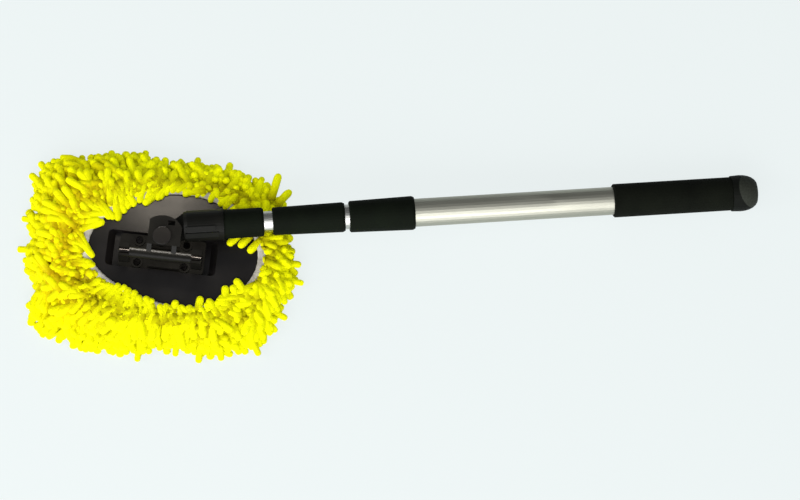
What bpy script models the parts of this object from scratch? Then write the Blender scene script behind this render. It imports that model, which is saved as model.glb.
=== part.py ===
"""Car wash mop: a chenille pad on an oval plate, a two-axis swivel and a telescopic pole.

Metres, +Z up. The origin is on the floor under the middle of the plate. The mop lies as it is
put down: the pad stands on the floor and the pole slopes down until its end cap touches it.
"""
import math
import random

import bmesh
import bpy
from mathutils import Matrix, Vector

# Fits
GAP = 0.0003
SLIDE_GAP = 0.0003
CUT_OVERRUN = 0.002

# Facets
ROUND_SEGMENTS = 32
SMALL_SEGMENTS = 16
OVAL_SEGMENTS = 64
SMOOTH_ANGLE = 35.0

# Plate
PLATE_LENGTH = 0.190
PLATE_WIDTH = 0.130
PLATE_HEIGHT = 0.0100
PLATE_WALL = 0.0025
PLATE_EDGE_ROUND = 0.0025
EDGE_ROUND_SHARES = ((0.0, 0.0), (0.65, 0.22), (1.0, 1.0))
PLATE_ROUND_POWER = 3.0
PLATE_RIB = 0.0018
PLATE_RIBS_ACROSS = 5
PLATE_RIBS_ALONG = 2
POCKET_LENGTH = 0.0980
POCKET_WIDTH = 0.0330
POCKET_FLOOR = 0.0030
POCKET_FLOOR_THICKNESS = 0.0020
POCKET_END_SLOPE = 0.0060
POCKET_CORNER = 0.004

# Height of the plate's underside over the floor, at its middle
SOLE_HEIGHT = 0.018

# Hinge bar, its bracket and its screws
BAR_Y = -0.0085
BAR_HEIGHT = 0.0300
ROD_DIAMETER = 0.0050
ROD_CHAMFER = 0.0005
BARREL_DIAMETER = 0.0090
POST_THICKNESS = 0.0090
POST_INSET = 0.00145
POST_FRONT = 0.0048
POST_BACK = 0.0072
POST_MOUTH = 0.0044
POST_PRONG_RISE = 0.0052
POST_PRONG_LEAD = 0.0006
POST_FOOT_FRONT = 0.0020
POST_FOOT_BACK = 0.0100
BRACKET_BASE_THICKNESS = 0.0025
BRACKET_END_MARGIN = 0.0050
BRACKET_MARGIN = 0.0012
BRACKET_TAB_LENGTH = 0.0280
BRACKET_TAB_SHIFT = 0.0030
BRACKET_TAB_INSET = 0.0006
BRACKET_TAB_DEPTH = 0.0050
BRACKET_TAB_RISE = 0.0080
SCREW_HEAD_DIAMETER = 0.0064
SCREW_HEAD_HEIGHT = 0.0020
SCREW_SHANK_DIAMETER = 0.0030
SCREW_LENGTH = 0.0062
SCREW_SOCKET_WIDTH = 0.0010
SCREW_SOCKET_DEPTH = 0.0010
SCREW_INSET = 0.0170
SCREW_FRONT_Y = -0.0108
SCREW_BACK_Y = 0.0095
BOSS_DIAMETER = 0.0104
BOSS_RISE = 0.0030
PLATE_BOSS_DIAMETER = 0.0070
SCREW_TIP = 0.0010

# Yoke: two cheeks on a barrel that turns round the rod
PIN_REACH = 0.0155
CHEEK_THICKNESS = 0.0045
CHEEK_GAP = 0.0090
CHEEK_LEFT = 0.0124
CHEEK_RIGHT = 0.0165
CHEEK_NEAR = 0.0080
CHEEK_RADIUS = 0.0190
CHEEK_SLOT_LEFT = 0.0036
CHEEK_SLOT_LENGTH = 0.0064
CHEEK_SLOT_NEAR = 0.0106
CHEEK_SLOT_WIDTH = 0.0042
LEG_WIDTH = 0.0042
RIGHT_LEG_START = 0.0096
LEG_OVERLAP = 0.0006
LEG_ROOT = 0.0010
LEG_ROOT_SHARE = 0.80

# Pivot pin between pole and yoke
PIN_DIAMETER = 0.0060
PIN_HEAD_DIAMETER = 0.0166
PIN_HEAD_HEIGHT = 0.0014
PIN_HEAD_BEVEL = 0.0005
WASHER_THICKNESS = 0.0008
WASHER_DIAMETER = 0.0120
CLIP_DIAMETER = 0.0110
CLIP_THICKNESS = 0.0010
CLIP_GROOVE = 0.0008
PIN_TAIL = 0.0012

# Pole, measured along its axis from the foot of the pin's perpendicular
POLE_YAW = 10.2
POLE_OFFSET = 0.0098
TONGUE_RADIUS = 0.0068
TONGUE_ARC_FIRST = 115.0
TONGUE_ARC_LAST = 280.0
TONGUE_ROOT_WIDTH = 0.0230
TONGUE_OVERLAP = 0.0040
SOCKET_START = 0.0195
SOCKET_END = 0.0546
SOCKET_DIAMETER = 0.0276
SOCKET_RIM = 0.0016
SOCKET_RIM_RISE = 0.0006
SOCKET_SHOULDER = 0.0030
SOCKET_SHOULDER_DROP = 0.0012
KEY_START = 0.0206
KEY_LENGTH = 0.0266
KEY_LEAN = 28.0
KEY_WIDTH = 0.0046
KEY_RISE = 0.0012
KEY_SINK = 0.0060
SIDE_RIB_WIDTH = 0.0050
SIDE_RIB_LENGTH = 0.0310
SIDE_RIB_LEAN = 53.0
SIDE_RIB_RISE = 0.0008
SPIGOT_LENGTH = 0.0240
SPIGOT_CHAMFER = 0.0010
COLLAR_LENGTH = 0.0353
COLLAR_DIAMETER = 0.0260
COLLAR_ROUND = 0.0028
COLLAR_STEPS = 4
TUBE_WALL = 0.0012
INNER_TUBE_DIAMETER = 0.0190
MIDDLE_TUBE_DIAMETER = 0.0220
OUTER_TUBE_DIAMETER = 0.0250
NUT_ONE_START = 0.0979
NUT_ONE_LENGTH = 0.0640
NUT_ONE_NEAR_DIAMETER = 0.0248
NUT_ONE_FAR_DIAMETER = 0.0268
NUT_TWO_START = 0.1659
NUT_TWO_LENGTH = 0.0580
NUT_TWO_NEAR_DIAMETER = 0.0280
NUT_TWO_FAR_DIAMETER = 0.0304
NUT_CHAMFER = 0.0022
NUT_LIP = 0.0030
COLLET_LENGTH = 0.0180
COLLET_SLIT_SHARE = 0.7
COLLET_SLIT_WIDTH = 0.0014
PLUG_FLANGE = 0.0030
PLUG_LENGTH = 0.0140
PLUG_BORE = 0.0080
GRIP_START = 0.4016
GRIP_END = 0.5080
GRIP_DIAMETER = 0.0300
GRIP_ROUND = 0.0012
CAP_END = 0.5316
CAP_DIAMETER = 0.0326
CAP_FACE_DIAMETER = 0.0150
CAP_SKIRT = 0.0080
CAP_SKIRT_DRAFT = 0.0004
CAP_STEPS = 6
CAP_PLUG_LENGTH = 0.0220
INNER_TUBE_REACH = 0.0300
MIDDLE_TUBE_REACH = 0.0150

# Pad
PAD_LENGTH = 0.250
PAD_WIDTH = 0.200
PAD_ROUND_POWER = 3.0
PAD_BACKING = 0.0110
WALL_OUT_SHARES = (0.80, 1.0, 1.05, 1.0, 0.74, 0.25)
WALL_UP_SHARES = (0.0, 0.20, 0.42, 0.64, 0.84, 1.0)
OPENING_LENGTH = 0.150
OPENING_WIDTH = 0.099
OPENING_SHIFT = 0.0100
OPENING_RISE = 0.0040
OPENING_ROUND_POWER = 2.0
HEM_WIDTH = 0.0070
HEM_THICKNESS = 0.0028
HEM_SEGMENTS = 40
ELASTIC_SIDES = 6
HEM_CLOTH = 0.0006
ELASTIC_DIAMETER = 0.0010
PAD_FLANGE = 0.0020
PAD_SLICES = 8
SLICE_COLUMNS = 16
FINGER_FLOOR_GAP = 0.0005
FINGER_CEILING = 0.0152
FINGER_TAPER_SHARE = 0.82
FINGER_LENGTH_JITTER_SHARE = 0.16
FINGER_LEAN = 3.0
FINGER_RISE_FIRST = -4.0
FINGER_RISE_LAST = 9.0
FINGER_SEED = 7


def srgb(code):
    """Linear colour from an sRGB hex code."""
    channels = [int(code[i:i + 2], 16) / 255 for i in (0, 2, 4)]
    return [c / 12.92 if c <= 0.04045 else ((c + 0.055) / 1.055) ** 2.4 for c in channels] + [1.0]


def material(name, code, roughness, metallic):
    made = bpy.data.materials.new(name)
    made.use_nodes = True
    shader = made.node_tree.nodes["Principled BSDF"]
    shader.inputs["Base Color"].default_value = srgb(code)
    shader.inputs["Roughness"].default_value = roughness
    shader.inputs["Metallic"].default_value = metallic
    made.diffuse_color = srgb(code)
    return made


def black_plastic(name):
    return material(name, "231F1F", 0.42, 0.0)


def joint_plastic(name):
    return material(name, "1E1C1C", 0.5, 0.0)


def grip_rubber(name):
    return material(name, "181B14", 0.75, 0.0)


def acetal(name):
    return material(name, "D9D7CF", 0.4, 0.0)


def steel(name):
    return material(name, "A9ABAD", 0.3, 1.0)


def satin_aluminium(name):
    return material(name, "C9CBCC", 0.32, 1.0)


def chenille(name):
    return material(name, "D8D800", 0.95, 0.0)


def hem_cloth(name):
    return material(name, "B5AFA5", 0.9, 0.0)


def latex(name):
    return material(name, "E8E4D8", 0.7, 0.0)


def clear_scene():
    for thing in list(bpy.data.objects):
        bpy.data.objects.remove(thing, do_unlink=True)


def add_object(name, shape, finish, parent):
    """Turn a bmesh into a named object under its parent, with faces outward."""
    bmesh.ops.recalc_face_normals(shape, faces=shape.faces[:])
    mesh = bpy.data.meshes.new(name)
    shape.to_mesh(mesh)
    shape.free()
    mesh.shade_smooth()
    mesh.set_sharp_from_angle(angle=math.radians(SMOOTH_ANGLE))
    thing = bpy.data.objects.new(name, mesh)
    bpy.context.scene.collection.objects.link(thing)
    thing.parent = parent
    if finish is not None:
        mesh.materials.append(finish(name))
    return thing


def add_cutter(name, shape, parent):
    """A hidden body that shapes another by a Boolean."""
    cutter = add_object(name, shape, None, parent)
    cutter.hide_render = True
    cutter.display_type = "WIRE"
    return cutter


def cut(thing, cutter, label):
    change = thing.modifiers.new(label, "BOOLEAN")
    change.operation = "DIFFERENCE"
    change.object = cutter
    change.solver = "EXACT"


def join(thing, other, label):
    change = thing.modifiers.new(label, "BOOLEAN")
    change.operation = "UNION"
    change.object = other
    change.solver = "EXACT"


def add_empty(name, parent, place, turn=None):
    frame = bpy.data.objects.new(name, None)
    bpy.context.scene.collection.objects.link(frame)
    frame.parent = parent
    frame.matrix_local = Matrix.Translation(place) @ (turn if turn is not None else Matrix.Identity(4))
    return frame


def box(shape, low, high):
    """A block between two corners."""
    verts = []
    for z in (low[2], high[2]):
        for y in (low[1], high[1]):
            verts += [shape.verts.new((x, y, z)) for x in (low[0], high[0])]
    for face in ((0, 2, 3, 1), (4, 5, 7, 6), (0, 1, 5, 4), (2, 6, 7, 3), (0, 4, 6, 2), (1, 3, 7, 5)):
        shape.faces.new([verts[i] for i in face])


def block(low, high):
    shape = bmesh.new()
    box(shape, low, high)
    return shape


def prism(shape, outline, low, high):
    """An upright body over a plane outline."""
    rings = [[shape.verts.new((x, y, z)) for x, y in outline] for z in (low, high)]
    count = len(outline)
    for i in range(count):
        j = (i + 1) % count
        shape.faces.new((rings[0][i], rings[0][j], rings[1][j], rings[1][i]))
    shape.faces.new(list(reversed(rings[0])))
    shape.faces.new(rings[1])


def loft(shape, rings, closed=False):
    """Skin a row of rings; a closed row joins its last ring to its first, an open one is capped."""
    made = [[shape.verts.new(p) for p in ring] for ring in rings]
    count = len(rings[0])
    pairs = list(zip(made, made[1:]))
    if closed:
        pairs.append((made[-1], made[0]))
    for a, b in pairs:
        for i in range(count):
            j = (i + 1) % count
            shape.faces.new((a[i], a[j], b[j], b[i]))
    if not closed:
        shape.faces.new(list(reversed(made[0])))
        shape.faces.new(made[-1])


def turned(profile, closed, segments=ROUND_SEGMENTS):
    """Turn a profile of (place along X, radius) round the X axis."""
    shape = bmesh.new()
    angles = [2 * math.pi * i / segments for i in range(segments)]
    rings = [[(s, r * math.cos(a), r * math.sin(a)) for a in angles] for s, r in profile]
    loft(shape, rings, closed)
    return shape


def upright(profile, closed, segments=ROUND_SEGMENTS):
    """Turn a profile of (height, radius) round the Z axis."""
    shape = turned(profile, closed, segments)
    quarter = Matrix.Rotation(-math.pi / 2, 3, "Y")
    bmesh.ops.rotate(shape, verts=shape.verts[:], cent=(0, 0, 0), matrix=quarter)
    return shape


def rounded_rectangle(low, high, radius, steps=5):
    """Points round a rectangle whose corners have one radius."""
    centres = ((high[0] - radius, high[1] - radius, 0), (low[0] + radius, high[1] - radius, 1),
               (low[0] + radius, low[1] + radius, 2), (high[0] - radius, low[1] + radius, 3))
    points = []
    for cx, cy, quarter in centres:
        for i in range(steps + 1):
            a = math.pi / 2 * (quarter + i / steps)
            points.append((cx + radius * math.cos(a), cy + radius * math.sin(a)))
    return points


def oval_radius(length, width, power, a):
    """Distance from the centre to the edge of a squarish oval, at the angle a."""
    along = abs(math.cos(a) / (length / 2)) ** power
    across = abs(math.sin(a) / (width / 2)) ** power
    return (along + across) ** (-1 / power)


def opening_radius(a):
    """Edge of the pad's opening, which lies to the pole's side of the plate's centre."""
    edge = oval_radius(OPENING_LENGTH, OPENING_WIDTH, OPENING_ROUND_POWER, a)
    return edge + OPENING_SHIFT * math.cos(a) + OPENING_RISE * math.sin(a)


def plate_radius(a):
    return oval_radius(PLATE_LENGTH, PLATE_WIDTH, PLATE_ROUND_POWER, a)


def pad_radius(a):
    return oval_radius(PAD_LENGTH, PAD_WIDTH, PAD_ROUND_POWER, a)


def full_turn(segments=OVAL_SEGMENTS):
    return [2 * math.pi * i / segments for i in range(segments)]


def around(radius, a, z):
    return radius * math.cos(a), radius * math.sin(a), z


def pole_direction():
    yaw = math.radians(POLE_YAW)
    return Vector((math.cos(yaw), math.sin(yaw), 0))


def pole_foot():
    """Where the pole's axis passes the pivot pin, in the head's frame."""
    yaw = math.radians(POLE_YAW)
    side = Vector((-math.sin(yaw), math.cos(yaw), 0))
    return Vector((0, BAR_Y + PIN_REACH, BAR_HEIGHT)) + side * POLE_OFFSET


def head_tilt():
    """Tilt of the head, in radians, that lays the end cap on the floor."""
    touch = GRIP_END + CAP_SKIRT
    reach = (pole_foot() + pole_direction() * touch).x
    tilt = 0.0
    for _ in range(8):
        slope = math.asin(math.sin(tilt) * pole_direction().x)
        drop = SOLE_HEIGHT + BAR_HEIGHT * math.cos(tilt) - CAP_DIAMETER / 2 * math.cos(slope)
        tilt = math.asin(drop / reach)
    return tilt


def floor_height(x):
    """Height of the floor in the head's frame, at the place x along the plate."""
    tilt = head_tilt()
    return (-SOLE_HEIGHT + math.sin(tilt) * x) / math.cos(tilt)


def plate_body(head):
    shape = bmesh.new()
    levels = [(0, 0)]
    for up_share, in_share in EDGE_ROUND_SHARES:
        level = PLATE_HEIGHT - PLATE_EDGE_ROUND + PLATE_EDGE_ROUND * up_share
        levels.append((level, PLATE_EDGE_ROUND * in_share))
    rings = [[around(plate_radius(a) - inset, a, z) for a in full_turn()] for z, inset in levels]
    loft(shape, rings)
    return add_object("mop_plate", shape, black_plastic, head)


def pocket_cutter(head):
    """The pocket for the hinge: upright along its sides and sloped at its two ends."""
    shape = bmesh.new()
    rings = []
    levels = ((POCKET_FLOOR, POCKET_END_SLOPE), (PLATE_HEIGHT, 0), (PLATE_HEIGHT + CUT_OVERRUN, 0))
    for level, slope in levels:
        half = POCKET_LENGTH / 2 - slope
        outline = rounded_rectangle((-half, -POCKET_WIDTH / 2), (half, POCKET_WIDTH / 2), POCKET_CORNER)
        rings.append([(x, y, level) for x, y in outline])
    loft(shape, rings)
    return add_cutter("pocket_cutter", shape, head)


def underside_cutter(head):
    """The hollow under the deck: an inset oval less the ribs, the pocket's tub and the screw bosses."""
    ceiling = PLATE_HEIGHT - PLATE_WALL
    shape = bmesh.new()
    rings = []
    for z in (-CUT_OVERRUN, ceiling):
        rings.append([around(plate_radius(a) - PLATE_WALL, a, z) for a in full_turn()])
    loft(shape, rings)
    hollow = add_cutter("underside_cutter", shape, head)

    reach = PLATE_LENGTH
    across = bmesh.new()
    for i in range(PLATE_RIBS_ACROSS):
        x = PLATE_LENGTH * ((i + 1) / (PLATE_RIBS_ACROSS + 1) - 1 / 2)
        box(across, (x - PLATE_RIB / 2, -reach, -CUT_OVERRUN * 2), (x + PLATE_RIB / 2, reach, PLATE_HEIGHT))
    cut(hollow, add_cutter("ribs_across", across, head), "ribs_across")

    along = bmesh.new()
    for i in range(PLATE_RIBS_ALONG):
        y = PLATE_WIDTH * ((i + 1) / (PLATE_RIBS_ALONG + 1) - 1 / 2)
        box(along, (-reach, y - PLATE_RIB / 2, -CUT_OVERRUN * 2), (reach, y + PLATE_RIB / 2, PLATE_HEIGHT))
    cut(hollow, add_cutter("ribs_along", along, head), "ribs_along")

    tub = bmesh.new()
    low = (-POCKET_LENGTH / 2 - PLATE_WALL, -POCKET_WIDTH / 2 - PLATE_WALL)
    high = (POCKET_LENGTH / 2 + PLATE_WALL, POCKET_WIDTH / 2 + PLATE_WALL)
    prism(tub, rounded_rectangle(low, high, POCKET_CORNER + PLATE_WALL),
          POCKET_FLOOR - POCKET_FLOOR_THICKNESS, PLATE_HEIGHT)
    cut(hollow, add_cutter("pocket_tub", tub, head), "pocket_tub")

    bosses = bmesh.new()
    for x, y in screw_places():
        ring = [(x + PLATE_BOSS_DIAMETER / 2 * math.cos(a), y + PLATE_BOSS_DIAMETER / 2 * math.sin(a))
                for a in full_turn(SMALL_SEGMENTS)]
        prism(bosses, ring, -CUT_OVERRUN * 2, PLATE_HEIGHT)
    cut(hollow, add_cutter("plate_bosses", bosses, head), "plate_bosses")
    return hollow


def bracket_reach():
    """Half the bracket's length: it fills the pocket's floor less a margin at each end."""
    return POCKET_LENGTH / 2 - POCKET_END_SLOPE - BRACKET_END_MARGIN


def barrel_reach():
    """Half the barrel's length, between the two bearing posts."""
    return bracket_reach() - POST_INSET - POST_THICKNESS - GAP


def screw_places():
    reach = bracket_reach() - SCREW_INSET
    return [(sx * reach, y) for y in (SCREW_FRONT_Y, SCREW_BACK_Y) for sx in (-1, 1)]


def bracket_floor():
    return POCKET_FLOOR + GAP


def bracket_top():
    return bracket_floor() + BRACKET_BASE_THICKNESS


def screw_seat():
    """Height of the ledge under a screw's head."""
    return bracket_top() + BOSS_RISE - SCREW_HEAD_HEIGHT


def placed_turns(profile, places):
    """Upright turned bodies with one profile, one at each place."""
    whole = bmesh.new()
    for x, y in places:
        rings = []
        for z, r in profile:
            rings.append([(x + r * math.cos(a), y + r * math.sin(a), z) for a in full_turn(SMALL_SEGMENTS)])
        loft(whole, rings)
    return whole


def screw_cutter(name, head):
    """Clearance for the four screws: a shank hole and a counterbore for the head."""
    shank = SCREW_SHANK_DIAMETER / 2 + GAP
    bore = SCREW_HEAD_DIAMETER / 2 + GAP
    foot = screw_seat() - SCREW_LENGTH - GAP
    top = bracket_top() + BOSS_RISE + CUT_OVERRUN
    seat = screw_seat() - GAP
    profile = ((foot, shank), (seat, shank), (seat, bore), (top, bore))
    return add_cutter(name, placed_turns(profile, screw_places()), head)


def build_plate(head):
    plate = plate_body(head)
    cut(plate, pocket_cutter(head), "pocket")
    cut(plate, underside_cutter(head), "underside")
    cut(plate, screw_cutter("plate_screw_cutter", head), "screws")


def post_outline():
    """Side view of a bearing post: a foot set back, a stem and two prongs round the rod's seat."""
    seat = ROD_DIAMETER / 2 + GAP
    base = bracket_top() - BRACKET_BASE_THICKNESS / 2
    waist = (bracket_top() + BAR_HEIGHT - BARREL_DIAMETER) / 2
    top = BAR_HEIGHT + POST_PRONG_RISE
    mouth = math.asin(POST_MOUTH / 2 / seat)
    points = [(-POST_FOOT_FRONT, base), (POST_FOOT_BACK, base), (POST_BACK, waist)]
    points += [(POST_BACK, top), (POST_MOUTH / 2 + POST_PRONG_LEAD, top)]
    steps = SMALL_SEGMENTS
    for i in range(steps + 1):
        a = math.pi / 2 - mouth - (2 * math.pi - 2 * mouth) * i / steps
        points.append((seat * math.cos(a), BAR_HEIGHT + seat * math.sin(a)))
    points += [(-POST_MOUTH / 2 - POST_PRONG_LEAD, top), (-POST_FRONT, top), (-POST_FRONT, waist)]
    return points


def post_starts():
    """Left face of each bearing post along the bar."""
    near = barrel_reach() + GAP
    return -near - POST_THICKNESS, near


def build_bracket(head):
    low = (-bracket_reach(), -POCKET_WIDTH / 2 + BRACKET_MARGIN)
    high = (bracket_reach(), POCKET_WIDTH / 2 - BRACKET_MARGIN)
    base = bmesh.new()
    prism(base, rounded_rectangle(low, high, POCKET_CORNER - BRACKET_MARGIN), bracket_floor(), bracket_top())
    bracket = add_object("hinge_bracket", base, joint_plastic, head)

    posts = bmesh.new()
    for start in post_starts():
        rings = [[(x, BAR_Y + y, z) for y, z in post_outline()] for x in (start, start + POST_THICKNESS)]
        loft(posts, rings)
    join(bracket, add_cutter("bracket_posts", posts, head), "posts")

    inner = bracket_top() - BRACKET_BASE_THICKNESS / 2
    boss = ((inner, BOSS_DIAMETER / 2), (bracket_top() + BOSS_RISE, BOSS_DIAMETER / 2))
    bosses = placed_turns(boss, screw_places())
    join(bracket, add_cutter("bracket_bosses", bosses, head), "bosses")

    front = -POCKET_WIDTH / 2 + BRACKET_MARGIN + BRACKET_TAB_INSET
    tab = block((BRACKET_TAB_SHIFT - BRACKET_TAB_LENGTH / 2, front, inner),
                (BRACKET_TAB_SHIFT + BRACKET_TAB_LENGTH / 2, front + BRACKET_TAB_DEPTH,
                 bracket_top() + BRACKET_TAB_RISE))
    join(bracket, add_cutter("bracket_tab", tab, head), "tab")
    cut(bracket, screw_cutter("bracket_screw_cutter", head), "screws")


def build_screws(head):
    """Four pan screws with a cross recess, which hold the bracket on the plate."""
    shank = SCREW_SHANK_DIAMETER / 2
    top = SCREW_HEAD_HEIGHT
    profile = ((-SCREW_LENGTH, shank - SCREW_TIP), (SCREW_TIP - SCREW_LENGTH, shank), (0, shank),
               (0, SCREW_HEAD_DIAMETER / 2), (top, SCREW_HEAD_DIAMETER / 2 - SCREW_TIP / 2))
    arm = SCREW_HEAD_DIAMETER / 3
    half = SCREW_SOCKET_WIDTH / 2
    low = top - SCREW_SOCKET_DEPTH
    recess = bmesh.new()
    cross = [(arm, -half), (arm, half), (half, half), (half, arm), (-half, arm), (-half, half),
             (-arm, half), (-arm, -half), (-half, -half), (-half, -arm), (half, -arm), (half, -half)]
    prism(recess, cross, low, top + CUT_OVERRUN)
    for number, (x, y) in enumerate(screw_places()):
        name = "bracket_screw_%d" % (number + 1)
        seat = add_empty(name + "_seat", head, (x, y, screw_seat()))
        screw = add_object(name, placed_turns(profile, [(0, 0)]), steel, seat)
        cut(screw, add_cutter(name + "_recess", recess.copy(), seat), "recess")
    recess.free()


def build_rod(head):
    """Steel rod that snaps into the posts and carries the yoke."""
    radius = ROD_DIAMETER / 2
    half = barrel_reach() + GAP + POST_THICKNESS
    profile = ((-half, radius - ROD_CHAMFER), (-half + ROD_CHAMFER, radius),
               (half - ROD_CHAMFER, radius), (half, radius - ROD_CHAMFER))
    rod = add_object("hinge_rod", turned(profile, False, SMALL_SEGMENTS), steel, head)
    rod.location = (0, BAR_Y, BAR_HEIGHT)


def cheek_outline():
    """One cheek from above, with the pivot pin at its centre."""
    first = math.asin(math.sqrt(CHEEK_RADIUS ** 2 - CHEEK_RIGHT ** 2) / CHEEK_RADIUS)
    last = math.pi - math.asin(math.sqrt(CHEEK_RADIUS ** 2 - CHEEK_LEFT ** 2) / CHEEK_RADIUS)
    points = [(-CHEEK_LEFT, -CHEEK_NEAR), (CHEEK_RIGHT, -CHEEK_NEAR)]
    for i in range(SMALL_SEGMENTS + 1):
        a = first + (last - first) * i / SMALL_SEGMENTS
        points.append((CHEEK_RADIUS * math.cos(a), CHEEK_RADIUS * math.sin(a)))
    return [(x, PIN_REACH + y) for x, y in points]


def yoke_half_height():
    return CHEEK_GAP / 2 + CHEEK_THICKNESS


def build_yoke(frame):
    """Two cheeks for the pivot pin, on two legs that stand on a barrel round the rod."""
    half = barrel_reach()
    radius = BARREL_DIAMETER / 2
    yoke = add_object("hinge_yoke", turned(((-half, radius), (half, radius)), False), joint_plastic, frame)

    legs = bmesh.new()
    near = PIN_REACH - CHEEK_NEAR + LEG_OVERLAP
    for start in (-CHEEK_LEFT, RIGHT_LEG_START):
        tall = yoke_half_height()
        root = radius * LEG_ROOT_SHARE
        side = [(LEG_ROOT, -root), (near, -tall), (near, tall), (LEG_ROOT, root)]
        rings = [[(x, y, z) for y, z in side] for x in (start, start + LEG_WIDTH)]
        loft(legs, rings)
    join(yoke, add_cutter("yoke_legs", legs, frame), "legs")

    cheeks = bmesh.new()
    for low in (-yoke_half_height(), CHEEK_GAP / 2):
        prism(cheeks, cheek_outline(), low, low + CHEEK_THICKNESS)
    join(yoke, add_cutter("yoke_cheeks", cheeks, frame), "cheeks")

    reach = half + CUT_OVERRUN
    loose = ROD_DIAMETER / 2 + GAP
    bore = turned(((-reach, loose), (reach, loose)), False, SMALL_SEGMENTS)
    cut(yoke, add_cutter("rod_bore", bore, frame), "rod_bore")

    reach = yoke_half_height() + CUT_OVERRUN
    hole = placed_turns(((-reach, PIN_DIAMETER / 2 + GAP), (reach, PIN_DIAMETER / 2 + GAP)), [(0, PIN_REACH)])
    cut(yoke, add_cutter("yoke_pin_hole", hole, frame), "pin_hole")

    near = PIN_REACH + CHEEK_SLOT_NEAR
    far = near + CHEEK_SLOT_WIDTH
    slot = block((CHEEK_SLOT_LEFT, near, CHEEK_GAP / 2 - CUT_OVERRUN),
                 (CHEEK_SLOT_LEFT + CHEEK_SLOT_LENGTH, far, yoke_half_height() + CUT_OVERRUN))
    cut(yoke, add_cutter("cheek_slot", slot, frame), "slot")
    return yoke


def build_pin(frame):
    """Headed pin with a groove at its tail, and the clip that holds it there."""
    radius = PIN_DIAMETER / 2
    face = yoke_half_height() + GAP
    head = PIN_HEAD_DIAMETER / 2
    groove = -face - GAP
    tail = groove - CLIP_THICKNESS - GAP
    neck = radius - CLIP_GROOVE
    profile = ((tail - PIN_TAIL, radius), (tail, radius), (tail, neck), (groove, neck), (groove, radius),
               (face, radius), (face, head), (face + PIN_HEAD_HEIGHT - PIN_HEAD_BEVEL, head),
               (face + PIN_HEAD_HEIGHT, head - PIN_HEAD_BEVEL))
    pin = add_object("pivot_pin", upright(profile, False), joint_plastic, frame)
    pin.location = (0, PIN_REACH, 0)

    inner = neck + GAP
    low = groove - GAP / 2 - CLIP_THICKNESS
    ring = upright(((low, inner), (low, CLIP_DIAMETER / 2), (low + CLIP_THICKNESS, CLIP_DIAMETER / 2),
                    (low + CLIP_THICKNESS, inner)), True, SMALL_SEGMENTS)
    clip = add_object("pin_clip", ring, steel, frame)
    clip.location = (0, PIN_REACH, 0)
    mouth = block((-inner, 0, low - CUT_OVERRUN), (inner, CLIP_DIAMETER, low + CLIP_THICKNESS + CUT_OVERRUN))
    opening = add_cutter("clip_mouth", mouth, frame)
    opening.location = (0, PIN_REACH, 0)
    cut(clip, opening, "mouth")


def build_washers(frame):
    """A washer on each side of the tongue."""
    inner = PIN_DIAMETER / 2 + GAP
    outer = WASHER_DIAMETER / 2
    places = (("lower_washer", GAP - CHEEK_GAP / 2), ("upper_washer", CHEEK_GAP / 2 - GAP - WASHER_THICKNESS))
    for name, low in places:
        high = low + WASHER_THICKNESS
        ring = upright(((low, inner), (low, outer), (high, outer), (high, inner)), True, SMALL_SEGMENTS)
        washer = add_object(name, ring, acetal, frame)
        washer.location = (0, PIN_REACH, 0)


def tongue_outline():
    """Flat tongue in the pole's plan: round about the pin, flared to the socket."""
    points = []
    for i in range(SMALL_SEGMENTS + 1):
        a = math.radians(TONGUE_ARC_FIRST + (TONGUE_ARC_LAST - TONGUE_ARC_FIRST) * i / SMALL_SEGMENTS)
        points.append((TONGUE_RADIUS * math.cos(a), -POLE_OFFSET + TONGUE_RADIUS * math.sin(a)))
    root = SOCKET_START + TONGUE_OVERLAP
    points += [(SOCKET_START, -TONGUE_ROOT_WIDTH / 2), (root, -TONGUE_ROOT_WIDTH / 2)]
    points += [(root, TONGUE_ROOT_WIDTH / 2), (SOCKET_START, TONGUE_ROOT_WIDTH / 2)]
    return points


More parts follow.
